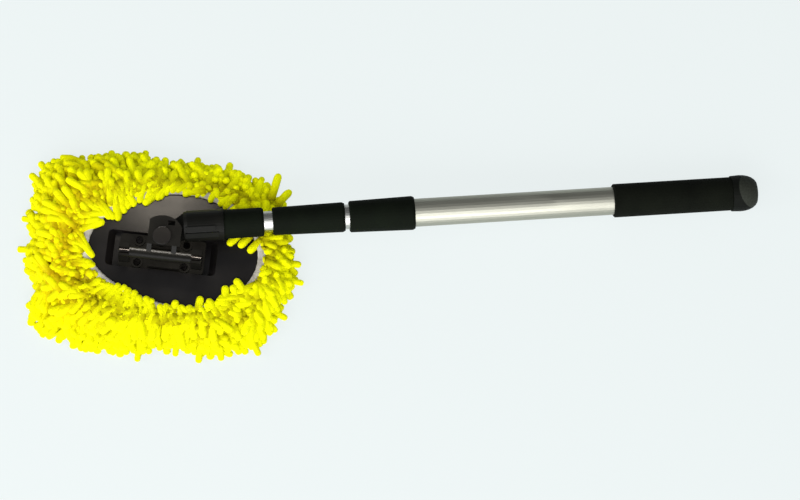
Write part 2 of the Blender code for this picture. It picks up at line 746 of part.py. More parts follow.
def build_socket(pole):
    """Socket with a tongue for the pivot pin and a spigot for the pole's first tube."""
    radius = SOCKET_DIAMETER / 2
    spigot = INNER_TUBE_DIAMETER / 2 - TUBE_WALL - GAP
    tip = SOCKET_END + SPIGOT_LENGTH
    profile = ((SOCKET_START, radius - SOCKET_SHOULDER_DROP), (SOCKET_START + SOCKET_SHOULDER, radius),
               (SOCKET_END - SOCKET_RIM, radius), (SOCKET_END - SOCKET_RIM, radius + SOCKET_RIM_RISE),
               (SOCKET_END, radius + SOCKET_RIM_RISE), (SOCKET_END, spigot),
               (tip - SPIGOT_CHAMFER, spigot), (tip, spigot - SPIGOT_CHAMFER))
    socket = add_object("pole_socket", turned(profile, False), joint_plastic, pole)

    thick = CHEEK_GAP / 2 - WASHER_THICKNESS - 2 * GAP
    tongue = bmesh.new()
    prism(tongue, tongue_outline(), -thick, thick)
    join(socket, add_cutter("socket_tongue", tongue, pole), "tongue")

    keys = bmesh.new()
    top = radius + KEY_RISE
    box(keys, (KEY_START, -KEY_WIDTH / 2, radius - KEY_SINK), (KEY_START + KEY_LENGTH, KEY_WIDTH / 2, top))
    box(keys, (KEY_START, -KEY_WIDTH / 2, -top), (KEY_START + KEY_LENGTH, KEY_WIDTH / 2, KEY_SINK - radius))
    lean = Matrix.Rotation(math.radians(KEY_LEAN), 3, "X")
    bmesh.ops.rotate(keys, verts=keys.verts[:], cent=(0, 0, 0), matrix=lean)
    join(socket, add_cutter("socket_keys", keys, pole), "keys")

    ribs = block((KEY_START, -SIDE_RIB_WIDTH / 2, radius - KEY_SINK),
                 (KEY_START + SIDE_RIB_LENGTH - SOCKET_RIM, SIDE_RIB_WIDTH / 2, radius + SIDE_RIB_RISE))
    lean = Matrix.Rotation(math.radians(SIDE_RIB_LEAN), 3, "X")
    bmesh.ops.rotate(ribs, verts=ribs.verts[:], cent=(0, 0, 0), matrix=lean)
    join(socket, add_cutter("socket_side_rib", ribs, pole), "side_rib")

    loose = PIN_DIAMETER / 2 + GAP
    hole = placed_turns(((-CHEEK_GAP, loose), (CHEEK_GAP, loose)), [(0, -POLE_OFFSET)])
    cut(socket, add_cutter("tongue_pin_hole", hole, pole), "pin_hole")


def sleeve(name, start, end, outer, inner, finish, parent):
    """Plain tube along the pole."""
    profile = ((start, outer), (end, outer), (end, inner), (start, inner))
    return add_object(name, turned(profile, True), finish, parent)


def build_collar(pole):
    """Collar that holds the first tube on the socket's spigot."""
    outer = COLLAR_DIAMETER / 2
    inner = INNER_TUBE_DIAMETER / 2 + GAP
    start = SOCKET_END + GAP
    end = start + COLLAR_LENGTH
    profile = [(start, outer)]
    for i in range(COLLAR_STEPS + 1):
        a = math.pi / 2 * i / COLLAR_STEPS
        profile.append((end - COLLAR_ROUND * (1 - math.sin(a)), outer - COLLAR_ROUND * (1 - math.cos(a))))
    profile += [(end, inner), (start, inner)]
    add_object("tip_collar", turned(profile, True), joint_plastic, pole)


def middle_tube_end():
    return GRIP_END - CAP_PLUG_LENGTH - MIDDLE_TUBE_REACH


def inner_tube_end():
    return middle_tube_end() - INNER_TUBE_REACH


def lock_tube_start(nut_start):
    """Where the clamped tube begins, behind the nut's lip and the collet."""
    return nut_start + NUT_LIP + GAP + COLLET_LENGTH + GAP


def build_tube(name, start, end, diameter, parent):
    sleeve(name, start, end, diameter / 2, diameter / 2 - TUBE_WALL, satin_aluminium, parent)


def build_plug(name, tube_end, diameter, parent):
    """Guide plug in the far end of a tube, which keeps it centred in the next tube."""
    start = tube_end - PLUG_LENGTH
    seat = tube_end + GAP
    spigot = diameter / 2 - TUBE_WALL - GAP
    bore = PLUG_BORE / 2
    profile = ((start, spigot), (seat, spigot), (seat, diameter / 2), (seat + PLUG_FLANGE, diameter / 2),
               (seat + PLUG_FLANGE, bore), (start, bore))
    add_object(name, turned(profile, True), acetal, parent)


def build_nut(name, start, length, near, far, inner_diameter, outer_diameter, parent):
    """Twist-lock nut: a lip round the sliding tube, and a long body round the clamped one."""
    lip = inner_diameter / 2 + SLIDE_GAP
    bore = outer_diameter / 2 + SLIDE_GAP
    end = start + length
    near_radius, far_radius = near / 2, far / 2
    slope = (far_radius - near_radius) / length
    profile = ((start, near_radius - NUT_CHAMFER / 2), (start + NUT_CHAMFER / 2, near_radius),
               (end - NUT_CHAMFER, far_radius - slope * NUT_CHAMFER), (end, far_radius - NUT_CHAMFER / 2),
               (end, bore), (start + NUT_LIP, bore), (start + NUT_LIP, lip), (start, lip))
    add_object(name, turned(profile, True), joint_plastic, parent)


def build_collet(name, nut_start, inner_diameter, outer_diameter, parent):
    """Slit ring that the nut squeezes on the sliding tube."""
    start = nut_start + NUT_LIP + GAP
    end = start + COLLET_LENGTH
    ring = sleeve(name, start, end, outer_diameter / 2, inner_diameter / 2 + SLIDE_GAP, acetal, parent)
    slit_end = start + COLLET_LENGTH * COLLET_SLIT_SHARE
    for label, turn in (("slit_a", 0), ("slit_b", math.pi / 2)):
        slit = block((start - CUT_OVERRUN, -outer_diameter, -COLLET_SLIT_WIDTH / 2),
                     (slit_end, outer_diameter, COLLET_SLIT_WIDTH / 2))
        bmesh.ops.rotate(slit, verts=slit.verts[:], cent=(0, 0, 0), matrix=Matrix.Rotation(turn, 3, "X"))
        cut(ring, add_cutter(name + "_" + label, slit, parent), label)


def build_grip(pole):
    outer = GRIP_DIAMETER / 2
    inner = OUTER_TUBE_DIAMETER / 2 + GAP
    profile = ((GRIP_START, outer - GRIP_ROUND), (GRIP_START + GRIP_ROUND, outer),
               (GRIP_END, outer), (GRIP_END, inner), (GRIP_START, inner))
    add_object("grip_sleeve", turned(profile, True), grip_rubber, pole)


def build_cap(pole):
    """End cap: a plug in the tube, a skirt past the grip and a rounded crown with a flat face."""
    plug = OUTER_TUBE_DIAMETER / 2 - TUBE_WALL - GAP
    skirt = CAP_DIAMETER / 2
    start = GRIP_END + GAP
    widest = GRIP_END + CAP_SKIRT
    profile = [(start - CAP_PLUG_LENGTH, plug), (start, plug)]
    profile += [(start, skirt - CAP_SKIRT_DRAFT), (widest, skirt)]
    face = CAP_FACE_DIAMETER / 2
    for i in range(1, CAP_STEPS + 1):
        a = math.pi / 2 * i / CAP_STEPS
        profile.append((widest + (CAP_END - widest) * math.sin(a), face + (skirt - face) * math.cos(a)))
    add_object("end_cap", turned(profile, False), grip_rubber, pole)


def build_pole(pole):
    """Three tubes, their locks and guides, the grip and the cap."""
    build_socket(pole)
    build_collar(pole)
    build_tube("inner_tube", SOCKET_END + GAP, inner_tube_end(), INNER_TUBE_DIAMETER, pole)
    build_plug("inner_guide_plug", inner_tube_end(), INNER_TUBE_DIAMETER, pole)
    build_tube("middle_tube", lock_tube_start(NUT_ONE_START), middle_tube_end(), MIDDLE_TUBE_DIAMETER, pole)
    build_plug("middle_guide_plug", middle_tube_end(), MIDDLE_TUBE_DIAMETER, pole)
    build_collet("middle_collet", NUT_ONE_START, INNER_TUBE_DIAMETER, MIDDLE_TUBE_DIAMETER, pole)
    build_nut("middle_lock_nut", NUT_ONE_START, NUT_ONE_LENGTH, NUT_ONE_NEAR_DIAMETER, NUT_ONE_FAR_DIAMETER,
              INNER_TUBE_DIAMETER, MIDDLE_TUBE_DIAMETER, pole)
    build_tube("outer_tube", lock_tube_start(NUT_TWO_START), GRIP_END - GAP, OUTER_TUBE_DIAMETER, pole)
    build_collet("outer_collet", NUT_TWO_START, MIDDLE_TUBE_DIAMETER, OUTER_TUBE_DIAMETER, pole)
    build_nut("outer_lock_nut", NUT_TWO_START, NUT_TWO_LENGTH, NUT_TWO_NEAR_DIAMETER, NUT_TWO_FAR_DIAMETER,
              MIDDLE_TUBE_DIAMETER, OUTER_TUBE_DIAMETER, pole)
    build_grip(pole)
    build_cap(pole)


def build_sole(head):
    """The pad under the plate, flat on the floor."""
    shape = bmesh.new()
    low = []
    high = []
    for a in full_turn():
        x, y, _ = around(plate_radius(a), a, 0)
        low.append((x, y, floor_height(x)))
        high.append((x, y, -GAP))
    loft(shape, [low, high])
    add_object("chenille_sole", shape, chenille, head)


def build_hem(head):
    """Cloth folded round an elastic, lying on the deck round the opening."""
    low = PLATE_HEIGHT + GAP
    high = low + HEM_THICKNESS
    channel = ((0, low), (HEM_WIDTH, low), (HEM_WIDTH, low + HEM_CLOTH), (HEM_CLOTH, low + HEM_CLOTH),
               (HEM_CLOTH, high - HEM_CLOTH), (HEM_WIDTH, high - HEM_CLOTH), (HEM_WIDTH, high), (0, high))
    shape = bmesh.new()
    rings = []
    for a in full_turn(HEM_SEGMENTS):
        rings.append([around(opening_radius(a) + out, a, z) for out, z in channel])
    loft(shape, rings, closed=True)
    add_object("hem_band", shape, hem_cloth, head)

    radius = ELASTIC_DIAMETER / 2
    middle = HEM_CLOTH + GAP + radius
    shape = bmesh.new()
    rings = []
    for a in full_turn(HEM_SEGMENTS):
        ring = []
        for b in full_turn(ELASTIC_SIDES):
            out = opening_radius(a) + middle + radius * math.cos(b)
            ring.append(around(out, a, (low + high) / 2 + radius * math.sin(b)))
        rings.append(ring)
    loft(shape, rings, closed=True)
    add_object("hem_elastic", shape, latex, head)


def pad_profile(a):
    """Section of the pad's skirt at the angle a, as places out from the centre and up."""
    edge = plate_radius(a) + GAP
    deck = PLATE_HEIGHT + GAP
    rim = deck + PAD_FLANGE
    section = [(edge, floor_height(edge * math.cos(a)))]
    for out_share, up_share in zip(WALL_OUT_SHARES, WALL_UP_SHARES):
        out = edge + PAD_BACKING * out_share
        floor = floor_height(out * math.cos(a))
        section.append((out, floor + (rim - floor) * up_share))
    inner = opening_radius(a) + HEM_WIDTH + GAP
    section += [(inner, rim), (inner, deck), (edge, deck)]
    return section


def clamp_height(point):
    """Keep a finger over the floor and under the pole."""
    low = floor_height(point.x) + FINGER_FLOOR_GAP
    return Vector((point.x, point.y, min(max(point.z, low), FINGER_CEILING)))


def grow_finger(shape, face, row, a, chance):
    """Draw one cell of the skirt out into a chenille finger."""
    corners = [v.co.copy() for v in face.verts]
    centre = sum(corners, Vector()) / len(corners)
    rows = len(WALL_UP_SHARES) - 2
    rise = FINGER_RISE_FIRST + (FINGER_RISE_LAST - FINGER_RISE_FIRST) * row / rows
    rise = math.radians(rise)
    lean = a + math.radians(chance.uniform(-FINGER_LEAN, FINGER_LEAN))
    direction = Vector((math.cos(lean) * math.cos(rise), math.sin(lean) * math.cos(rise), math.sin(rise)))
    reach = pad_radius(a) - math.hypot(centre.x, centre.y)
    reach *= 1 - FINGER_LENGTH_JITTER_SHARE * chance.random()
    base = list(face.verts)
    shape.faces.remove(face)
    tip = []
    for corner in corners:
        place = centre + (corner - centre) * FINGER_TAPER_SHARE + direction * reach
        tip.append(shape.verts.new(clamp_height(place)))
    for i in range(len(tip)):
        j = (i + 1) % len(tip)
        shape.faces.new((base[i], base[j], tip[j], tip[i]))
    shape.faces.new(tip)


def build_slice(number, head):
    """One slice of the skirt with its fingers, every other cell of a chequered wall."""
    chance = random.Random(FINGER_SEED + number)
    span = 2 * math.pi / PAD_SLICES
    first = span * (number - 0.5)
    edge = GAP / OPENING_WIDTH
    shape = bmesh.new()
    angles = [first + edge + (span - 2 * edge) * i / SLICE_COLUMNS for i in range(SLICE_COLUMNS + 1)]
    stations = [[shape.verts.new(around(out, a, z)) for out, z in pad_profile(a)] for a in angles]
    count = len(stations[0])
    fingers = []
    for i in range(SLICE_COLUMNS):
        for j in range(count):
            k = (j + 1) % count
            face = shape.faces.new((stations[i][j], stations[i + 1][j], stations[i + 1][k], stations[i][k]))
            row = j - 1
            if 0 <= row < len(WALL_UP_SHARES) - 1 and (i + row + number * SLICE_COLUMNS) % 2 == 0:
                fingers.append((face, row, (angles[i] + angles[i + 1]) / 2))
    shape.faces.new(list(reversed(stations[0])))
    shape.faces.new(stations[-1])
    for face, row, a in fingers:
        grow_finger(shape, face, row, a, chance)
    add_object("chenille_slice_%d" % (number + 1), shape, chenille, head)


def build_pad(head):
    build_sole(head)
    build_hem(head)
    for number in range(PAD_SLICES):
        build_slice(number, head)


def main():
    clear_scene()
    head = add_empty("head_frame", None, (0, 0, SOLE_HEIGHT), Matrix.Rotation(head_tilt(), 4, "Y"))
    bar = add_empty("bar_axis", head, (0, BAR_Y, BAR_HEIGHT))
    swing = add_empty("pivot_axis", bar, (0, PIN_REACH, 0), Matrix.Rotation(math.radians(POLE_YAW), 4, "Z"))
    pole = add_empty("pole_axis", swing, (0, POLE_OFFSET, 0))
    build_plate(head)
    build_bracket(head)
    build_screws(head)
    build_rod(head)
    build_yoke(bar)
    build_pin(bar)
    build_washers(bar)
    build_pole(pole)
    build_pad(head)


main()
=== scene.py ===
"""Looks of the car wash mop: a tufted chenille pad, moulded joint parts and an aluminium pole.

Metres, +Z up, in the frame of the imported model. The pad's pieces are worked out in the head's
own frame, whose XY plane is the underside of the plate, and then set down on the floor.
"""
import math
import random

import bpy
import numpy as np
from mathutils import Matrix, Vector, noise


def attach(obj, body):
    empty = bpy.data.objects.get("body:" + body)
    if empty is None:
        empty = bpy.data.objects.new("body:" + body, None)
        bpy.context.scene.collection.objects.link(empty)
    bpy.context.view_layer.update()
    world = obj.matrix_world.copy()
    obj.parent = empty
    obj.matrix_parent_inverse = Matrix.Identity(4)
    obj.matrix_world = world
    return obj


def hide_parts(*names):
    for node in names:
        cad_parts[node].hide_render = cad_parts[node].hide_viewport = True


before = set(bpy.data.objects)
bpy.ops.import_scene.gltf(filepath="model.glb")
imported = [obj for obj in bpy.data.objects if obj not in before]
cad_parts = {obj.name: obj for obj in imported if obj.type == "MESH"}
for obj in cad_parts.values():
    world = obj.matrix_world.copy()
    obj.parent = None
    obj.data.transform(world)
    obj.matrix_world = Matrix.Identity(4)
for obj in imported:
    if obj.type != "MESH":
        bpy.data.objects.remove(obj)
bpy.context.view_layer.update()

# Head frame
SOLE_HEIGHT = 0.018
HEAD_TILT = 0.06262
HEAD = Matrix.Translation((0, 0, SOLE_HEIGHT)) @ Matrix.Rotation(HEAD_TILT, 4, "Y")

# Outlines in the head frame
PLATE_LENGTH = 0.190
PLATE_WIDTH = 0.130
PLATE_TOP = 0.0100
PLATE_ROUND_POWER = 3.0
OPENING_LENGTH = 0.150
OPENING_WIDTH = 0.099
OPENING_ROUND_POWER = 2.0
OPENING_SHIFT = Vector((0.010, 0.004))
# turn between two points of an edge that give its direction
EDGE_STEP = 0.01

# Pad's edge, measured from the head's middle: degrees, reach
PAD_REACH = (
    (0, 0.124), (13, 0.121), (30, 0.125), (43, 0.121), (54, 0.112), (63, 0.106), (75, 0.098),
    (90, 0.097), (100, 0.099), (110, 0.106), (120, 0.113), (133, 0.124), (146, 0.142), (156, 0.137),
    (165, 0.133), (176, 0.123), (184, 0.126), (197, 0.119), (206, 0.126), (213, 0.132), (222, 0.128),
    (230, 0.117), (239, 0.111), (250, 0.099), (263, 0.096), (275, 0.089), (290, 0.093), (306, 0.107),
    (319, 0.119), (330, 0.124), (342, 0.121), (354, 0.126))

# Shape of one noodle: metres, points round it, and steps of its spine
NOODLE_RADIUS = 0.0036
NOODLE_SIDES = 8
NOODLE_LENGTH = 0.028
NOODLE_STEPS = 7
# rings along the body as shares of it, then rings of the tip: share left to the end, share of the radius
BODY_STATIONS = (0.0, 0.2, 0.42, 0.64, 0.82)
TIP_STATIONS = ((1.0, 0.97), (0.52, 0.86), (0.18, 0.56))
BODY_END_SHARE = 0.96
LONGEST_TIP_SHARE = 0.45
# how far ahead and behind a ring its direction is read
AHEAD_SHARE = 0.05
# how far back from the tip a noodle bends, as a share of its length
BEND_SHARE = 0.55
# lumps in its thickness: their share of the radius, their pitch, their shift from noodle to noodle
LUMPS_SHARE = 0.06
LUMPS_PER_METRE = 260
LUMPS_TONE_SHIFT = 40

# Levels that the noodles stay under, in the head frame
CEILING = 0.0180
# the socket sweeps over the inner noodles: height it clears at its heel, its slope outwards
SWEEP_CEILING = 0.0154
SWEEP_HEEL = 0.058
SWEEP_SLOPE = 0.05
# the resting pole lies over the right end
POLE_CEILING = 0.0152
POLE_ANGLE = math.radians(12.0)
POLE_SPREAD = math.radians(20.0)
# share of the ring at which the pile starts to fall to the pad's edge
CROWN_SHARE = 0.42
# highest tips by the hem, and the share of the ring that counts as by it
HEM_REST = 0.0142
HEM_SHARE = 0.12
# in radii: how far a noodle's middle stays under the level, and over the floor at the pad's edge
CLEAR_LEVEL = 1.1
EDGE_LEVEL = 1.2

# Crown of the pile
SLICES = 8
SEED = 11
# layers of tips: clear of the layer's own tips, clear of those above it, depth, stretch along a
# lean, share of the tips' bright colour that they keep, the rest being painted shade
TIP_LAYERS = (
    (0.0069, 0.0, 0.0, 0.9, 1.0), (0.0062, 0.0042, 0.0032, 0.3, 0.62),
    (0.0056, 0.0030, 0.0056, 0.0, 0.38))
# places tried for each layer, half the field they are tried in, and the cells they are kept in
TIP_TRIES = 26000
TIP_FIELD = (0.15, 0.125)
TIP_CELL = 0.013
# share of the ring at which the tips start where the hem is bare, and how far covering it moves that
TIP_FIRST_SHARE = 0.13
COVER_SHARE = 0.18
# shares of the ring over which the deeper layers' painted shade comes in and goes out
INNER_SHADE_SHARE = 0.15
OUTER_SHADE_SHARE = 0.25
# least and most of what chance makes of each noodle, and the spread of its turn and lean
CROWN_LENGTHS = (0.85, 1.12)
CROWN_RADII = (0.90, 1.10)
CROWN_JITTER = 0.0022
TURN_SPREAD = 0.35
LEAN_SPREAD = 0.30
# patches of noise: level in the noise, patches in a metre, strength
BROAD_CLUMPS = (0.3, 16, 1.1)
FINE_CLUMPS = (0.9, 45, 1.0)
RAGGED_PATCHES = (0.5, 60, 0.06)
COMB_STRENGTH = 1.1
# share of the ring at which the pile starts to flow outwards: degrees, share
FLOW_START = (
    (0, 0.50), (30, 0.55), (70, 0.55), (100, 0.35), (130, 0.20), (160, 0.30), (185, 0.45),
    (210, 0.45), (235, 0.32), (300, 0.30), (330, 0.45))
# lean of the pile where it flows, and how fast it gets there
FLOW_LEAN = 1.35
FLOW_RATE = 1.6
# how far the noodles cover the hem, from bare (0) to past its inner edge (1 and over): degrees, cover
HEM_COVER = (
    (0, 0.1), (14, 0.1), (22, 1.0), (66, 1.0), (72, 0.85), (92, 0.85), (100, 1.25), (148, 1.25),
    (156, 1.15), (161, 0.1), (180, 0.1), (185, 1.0), (199, 1.0), (204, 0.5), (216, 0.5), (222, 1.0),
    (334, 1.0), (342, 0.1))
# lean in over the hem, and the share of the ring over which it fades
HEM_LEAN = 1.25
HEM_LEAN_SHARE = 0.20

# Roots on the backing cloth: its thickness, how it falls beyond the plate, highest root on its side
CLOTH = 0.0016
CLOTH_FALL = 0.6
CLOTH_LONGEST_FALL = 0.011
SIDE_ROOT_TOP = 0.006

# Skirt: share of the pad's reach, share of the way down to the floor, slope of the heading
SKIRT_ROWS = ((0.97, 0.45, -0.2), (0.90, 0.75, -0.5), (0.84, 1.0, -0.6))
SKIRT_PITCH = 0.0062
SKIRT_PITCHES = (1.0, 1.3)
SKIRT_START = 0.05
SKIRT_REACHES = (0.93, 1.03)
SKIRT_LENGTHS = (0.8, 1.05)
SKIRT_RADII = (0.9, 1.08)
SKIRT_RISE = 0.012
SKIRT_LEVEL = 0.9
SKIRT_COMB = 0.8
SKIRT_SPREAD = 0.25

# Strays, in the head frame: root, tip, height of the tip
STRAYS = (
    ((-0.045, 0.047), (-0.042, 0.024), 0.0136), ((-0.050, 0.058), (-0.032, 0.038), 0.0150),
    ((-0.037, -0.047), (-0.032, -0.035), 0.0140), ((-0.030, -0.060), (-0.017, -0.046), 0.0150),
    ((-0.026, -0.065), (-0.018, -0.056), 0.0165), ((0.000, -0.058), (-0.004, -0.046), 0.0150),
    ((0.015, -0.062), (0.018, -0.042), 0.0155), ((0.012, -0.064), (0.004, -0.049), 0.0165),
    ((0.038, -0.050), (0.039, -0.036), 0.0140), ((0.058, -0.053), (0.045, -0.038), 0.0155),
    ((0.068, -0.046), (0.055, -0.034), 0.0150), ((0.083, -0.036), (0.067, -0.017), 0.0150),
    ((0.089, -0.034), (0.085, -0.019), 0.0165), ((0.062, -0.042), (0.059, -0.024), 0.0138),
    ((0.074, -0.040), (0.065, -0.023), 0.0138), ((0.091, 0.059), (0.095, 0.085), 0.0080),
    ((0.097, 0.055), (0.107, 0.071), 0.0060), ((0.068, 0.026), (0.057, 0.013), 0.0128),
    ((0.076, 0.024), (0.067, 0.012), 0.0128), ((0.086, 0.022), (0.076, 0.008), 0.0132),
    ((0.008, -0.060), (0.010, -0.046), 0.0150), ((0.024, -0.060), (0.022, -0.046), 0.0150),
    ((0.032, -0.058), (0.030, -0.045), 0.0150), ((-0.050, -0.045), (-0.038, -0.034), 0.0150),
    ((-0.040, -0.052), (-0.030, -0.038), 0.0150))
# where they bend, from the root, and how far they arch over the level of their tip
STRAY_BEND_SHARE = 0.45
STRAY_ARCH = 0.0012

# Tips of the tufts that stand out from the pad's edge, in the head frame
TUFTS = (
    (-0.011, -0.096), (0.022, -0.088), (0.043, -0.092), (0.063, -0.088), (0.096, -0.080),
    (0.109, -0.057), (0.117, -0.044), (0.128, -0.010), (0.124, 0.007), (-0.058, -0.092),
    (-0.098, -0.082), (-0.111, -0.070), (-0.115, -0.056), (-0.130, -0.003), (-0.130, 0.026),
    (-0.124, -0.013), (-0.128, 0.068), (-0.121, 0.080), (-0.096, 0.087), (-0.084, 0.090),
    (-0.058, 0.097), (-0.027, 0.100), (0.021, 0.098), (0.050, 0.096), (0.081, 0.085))
# how far the tufts stand out, then how their outer noodles lie apart, back and turned in to the middle
TUFT_STAND = 0.0026
TUFT_SPREAD = 0.0032
TUFT_STEP = 0.0075
TUFT_CLOSING = 0.22
TUFT_TURN_SPREAD = 0.06
TUFT_ARCH = 0.0035
TUFT_BEND_SHARE = 0.5
TUFT_RADII = (0.80, 0.92)
# height of the outer noodles' tips and of the middle one's over the floor, in radii
TUFT_LEVELS = (1.1, 1.6)

# Noodles under the pad: their grid, how far it reaches, and each noodle's turn, ends and levels
SOLE_PITCH = 0.00837
SOLE_ROWS_REACH = 0.10
SOLE_COLUMNS_REACH = 0.13
SOLE_JITTER = 0.002
SOLE_REACH_SHARE = 0.86
SOLE_TURN_SPREAD = 0.9
SOLE_RADII = (0.95, 1.15)
SOLE_TIP = 0.008
SOLE_ROOT = 0.011
SOLE_ROOT_LEVEL = 2.4
SOLE_SIDES = 6

# Backing cloth: its section, from the hem over the rim, down the side, under the plate and back up
BACKING_STATIONS = 160
# it stays this far under the noodles' tips at this share of the ring
BACKING_CROWN_SHARE = 0.4
CROWN_CLEAR = 0.002
SEAT = 0.0004
# step in from the pad's edge to the cloth's outer reach
BACKING_INSET = 0.020
# step from the cloth's outer reach, height
BACKING_SIDE = ((-0.008, 0.003), (-0.003, -0.004))
BACKING_FOOT_STEP = 0.005
BACKING_FLOOR = 0.005
# under the plate: share of its reach at which the cloth ends, then step in from its edge, height
BACKING_END_SHARE = 0.5
BACKING_LOWER = (0.004, -0.0026)
BACKING_UPPER = (0.003, -0.0008)
# step out from the plate's edge, height; then step out from it, height over the plate's top
BACKING_RIM = ((0.0004, 0.0012), (0.0006, 0.005))
BACKING_LIP = ((0.0003, -0.001), (-0.0016, 0.0004))

# Hem: a roll of tape, its points round and along, and the height of its middle in half thicknesses
HEM_WIDTH = 0.0068
HEM_THICKNESS = 0.0028
HEM_SIDES = 12
HEM_STATIONS = 420
HEM_SEAT_SHARE = 1.05
# gathers all round, and the noise that they drift with
GATHERS = 96
GATHER_PATCHES = 5
GATHER_LEVEL = 1.0
GATHER_DRIFT = 5
# depth of the puckers and how far it wanders, then how far they move the edge out and up
PUCKER_DEPTH = 0.6
PUCKER_WANDER = 0.5
PUCKER_OUT = 0.0003
PUCKER_UP_SHARE = 0.28

# Warmer, more orange painted shade at one end of the pad, along X: where it is warmest and where it starts
SHADE_WARM_END = -0.090
SHADE_WARM_START = -0.040

# Pole's turn from the X axis
POLE_YAW = math.radians(10.2)
# painted sheen on its cap's domed end: the way that it faces, where it starts, and the width of its edge
CAP_SHEEN_WAY = (0.799, 0.143, 0.584)
CAP_SHEEN_START = 0.4380
CAP_SHEEN_EDGE = 0.0005
TUBES = ("inner_tube", "middle_tube", "outer_tube")

# Studio: half of the floor's side, how much of the plain background shows to the camera and in mirrors
FLOOR_REACH = 6.0
FLOOR_SEEN = 0.88
FLOOR_MIRRORED = 0.25
# sky: its strength behind the object and in front of it, and how far from the middle it gets there
SKY_BACK = 0.20
SKY_FRONT = 0.72
SKY_REACH = 0.75


def linear(code):
    """Linear colour of an sRGB hex code."""
    channels = [int(code[i:i + 2], 16) / 255 for i in (1, 3, 5)]
    return [c / 12.92 if c <= 0.04045 else ((c + 0.055) / 1.055) ** 2.4 for c in channels] + [1.0]


def join(tree, node, links):
    """Link these sockets to the node's inputs."""
    for key, socket in links.items():
        tree.links.new(socket, node.inputs[key])


def add_node(tree, kind, settings=None, links=None, stops=()):
    """A new node with its settings, its unlinked and linked inputs, and its colour stops if it has any."""
    made = tree.nodes.new(kind)
    for key, value in (settings or {}).items():
        if isinstance(key, str) and hasattr(made, key):
            setattr(made, key, value)
        else:
            made.inputs[key].default_value = value
    if stops:
        elements = made.color_ramp.elements
        while len(elements) < len(stops):
            elements.new(0.5)
        for element, (place, code) in zip(elements, stops):
            element.position = place
            element.color = linear(code)
    join(tree, made, links or {})
    return made


def new_material(name, **inputs):
    """A material with its Principled shader's constants set, and the place on the object."""
    made = bpy.data.materials.new(name)
    made.use_nodes = True
    shader = made.node_tree.nodes["Principled BSDF"]
    for key, value in inputs.items():
        shader.inputs[key.replace("_", " ")].default_value = value
    place = add_node(made.node_tree, "ShaderNodeTexCoord").outputs["Object"]
    return made, made.node_tree, shader, place


def chenille_microfibre():
    """Polyester microfibre chenille: a soft cut pile, bright lemon at the tips, with painted shade down
    each noodle to its root in deep orange or olive, and a dusty sheen at grazing angles."""
    made, tree, shader, place = new_material(
        "chenille_microfibre",
        Roughness=0.85,
        Sheen_Weight=0.30,
        Sheen_Roughness=0.45,
        Sheen_Tint=linear("#FFFF20"),
        Specular_IOR_Level=0.08,
    )
    # painted shade: each noodle's colour darkens from its lemon tip down to its root
    along = add_node(tree, "ShaderNodeAttribute", {"attribute_name": "along"})
    orange = add_node(
        tree, "ShaderNodeValToRGB", links={"Fac": along.outputs["Fac"]},
        stops=((0.0, "#BC9C00"), (0.25, "#DCC800"), (0.55, "#F6F000"), (1.0, "#FFFF00")))
    olive = add_node(
        tree, "ShaderNodeValToRGB", links={"Fac": along.outputs["Fac"]},
        stops=((0.0, "#B4AA00"), (0.25, "#D6D200"), (0.55, "#F2F200"), (1.0, "#FFFF00")))
    # the painted shade at the roots is warmer, more orange, towards the -X end of the pad and more olive
    # elsewhere
    axes = add_node(tree, "ShaderNodeSeparateXYZ", links={0: place})
    olive_shade_mix = add_node(
        tree, "ShaderNodeMapRange", {"From Min": SHADE_WARM_END, "From Max": SHADE_WARM_START},
        {"Value": axes.outputs["X"]})
    root_shade_to_tip = add_node(
        tree, "ShaderNodeMix", {"data_type": "RGBA"},
        {0: olive_shade_mix.outputs["Result"], 6: orange.outputs["Color"], 7: olive.outputs["Color"]})
    # each noodle has a tone of its own
    tone = add_node(tree, "ShaderNodeAttribute", {"attribute_name": "tone"})
    tones = add_node(
        tree, "ShaderNodeValToRGB", links={"Fac": tone.outputs["Fac"]},
        stops=((0.0, "#E6E200"), (0.5, "#F8F800"), (1.0, "#FFFF00")))
    coat = add_node(
        tree, "ShaderNodeMix", {"data_type": "RGBA", "blend_type": "MULTIPLY", 0: 0.7},
        {6: root_shade_to_tip.outputs[2], 7: tones.outputs["Color"]})
    # tufts about 1.4 mm across, with painted shade where the pile parts between them
    tufts = add_node(
        tree, "ShaderNodeTexNoise", {"Scale": 700.0, "Detail": 3.0, "Roughness": 0.6}, {"Vector": place})
    parting_shade = add_node(
        tree, "ShaderNodeValToRGB", links={"Fac": tufts.outputs["Fac"]},
        stops=((0.30, "#D6D000"), (0.55, "#FFFF00")))
    pile = add_node(
        tree, "ShaderNodeMix", {"data_type": "RGBA", "blend_type": "MULTIPLY", 0: 0.45},
        {6: coat.outputs[2], 7: parting_shade.outputs["Color"]})
    # cut fibre ends, drawn at 0.5 mm so that they show
    fibres = add_node(tree, "ShaderNodeTexNoise", {"Scale": 2000.0, "Detail": 2.0}, {"Vector": place})
    rough = add_node(
        tree, "ShaderNodeBump", {"Strength": 0.5, "Distance": 0.0005}, {"Height": fibres.outputs["Fac"]})
    tufted = add_node(
        tree, "ShaderNodeBump", {"Strength": 0.7, "Distance": 0.0009},
        {"Height": tufts.outputs["Fac"], "Normal": rough.outputs["Normal"]})
    join(tree, shader, {"Base Color": pile.outputs[2], "Normal": tufted.outputs["Normal"]})
    return made


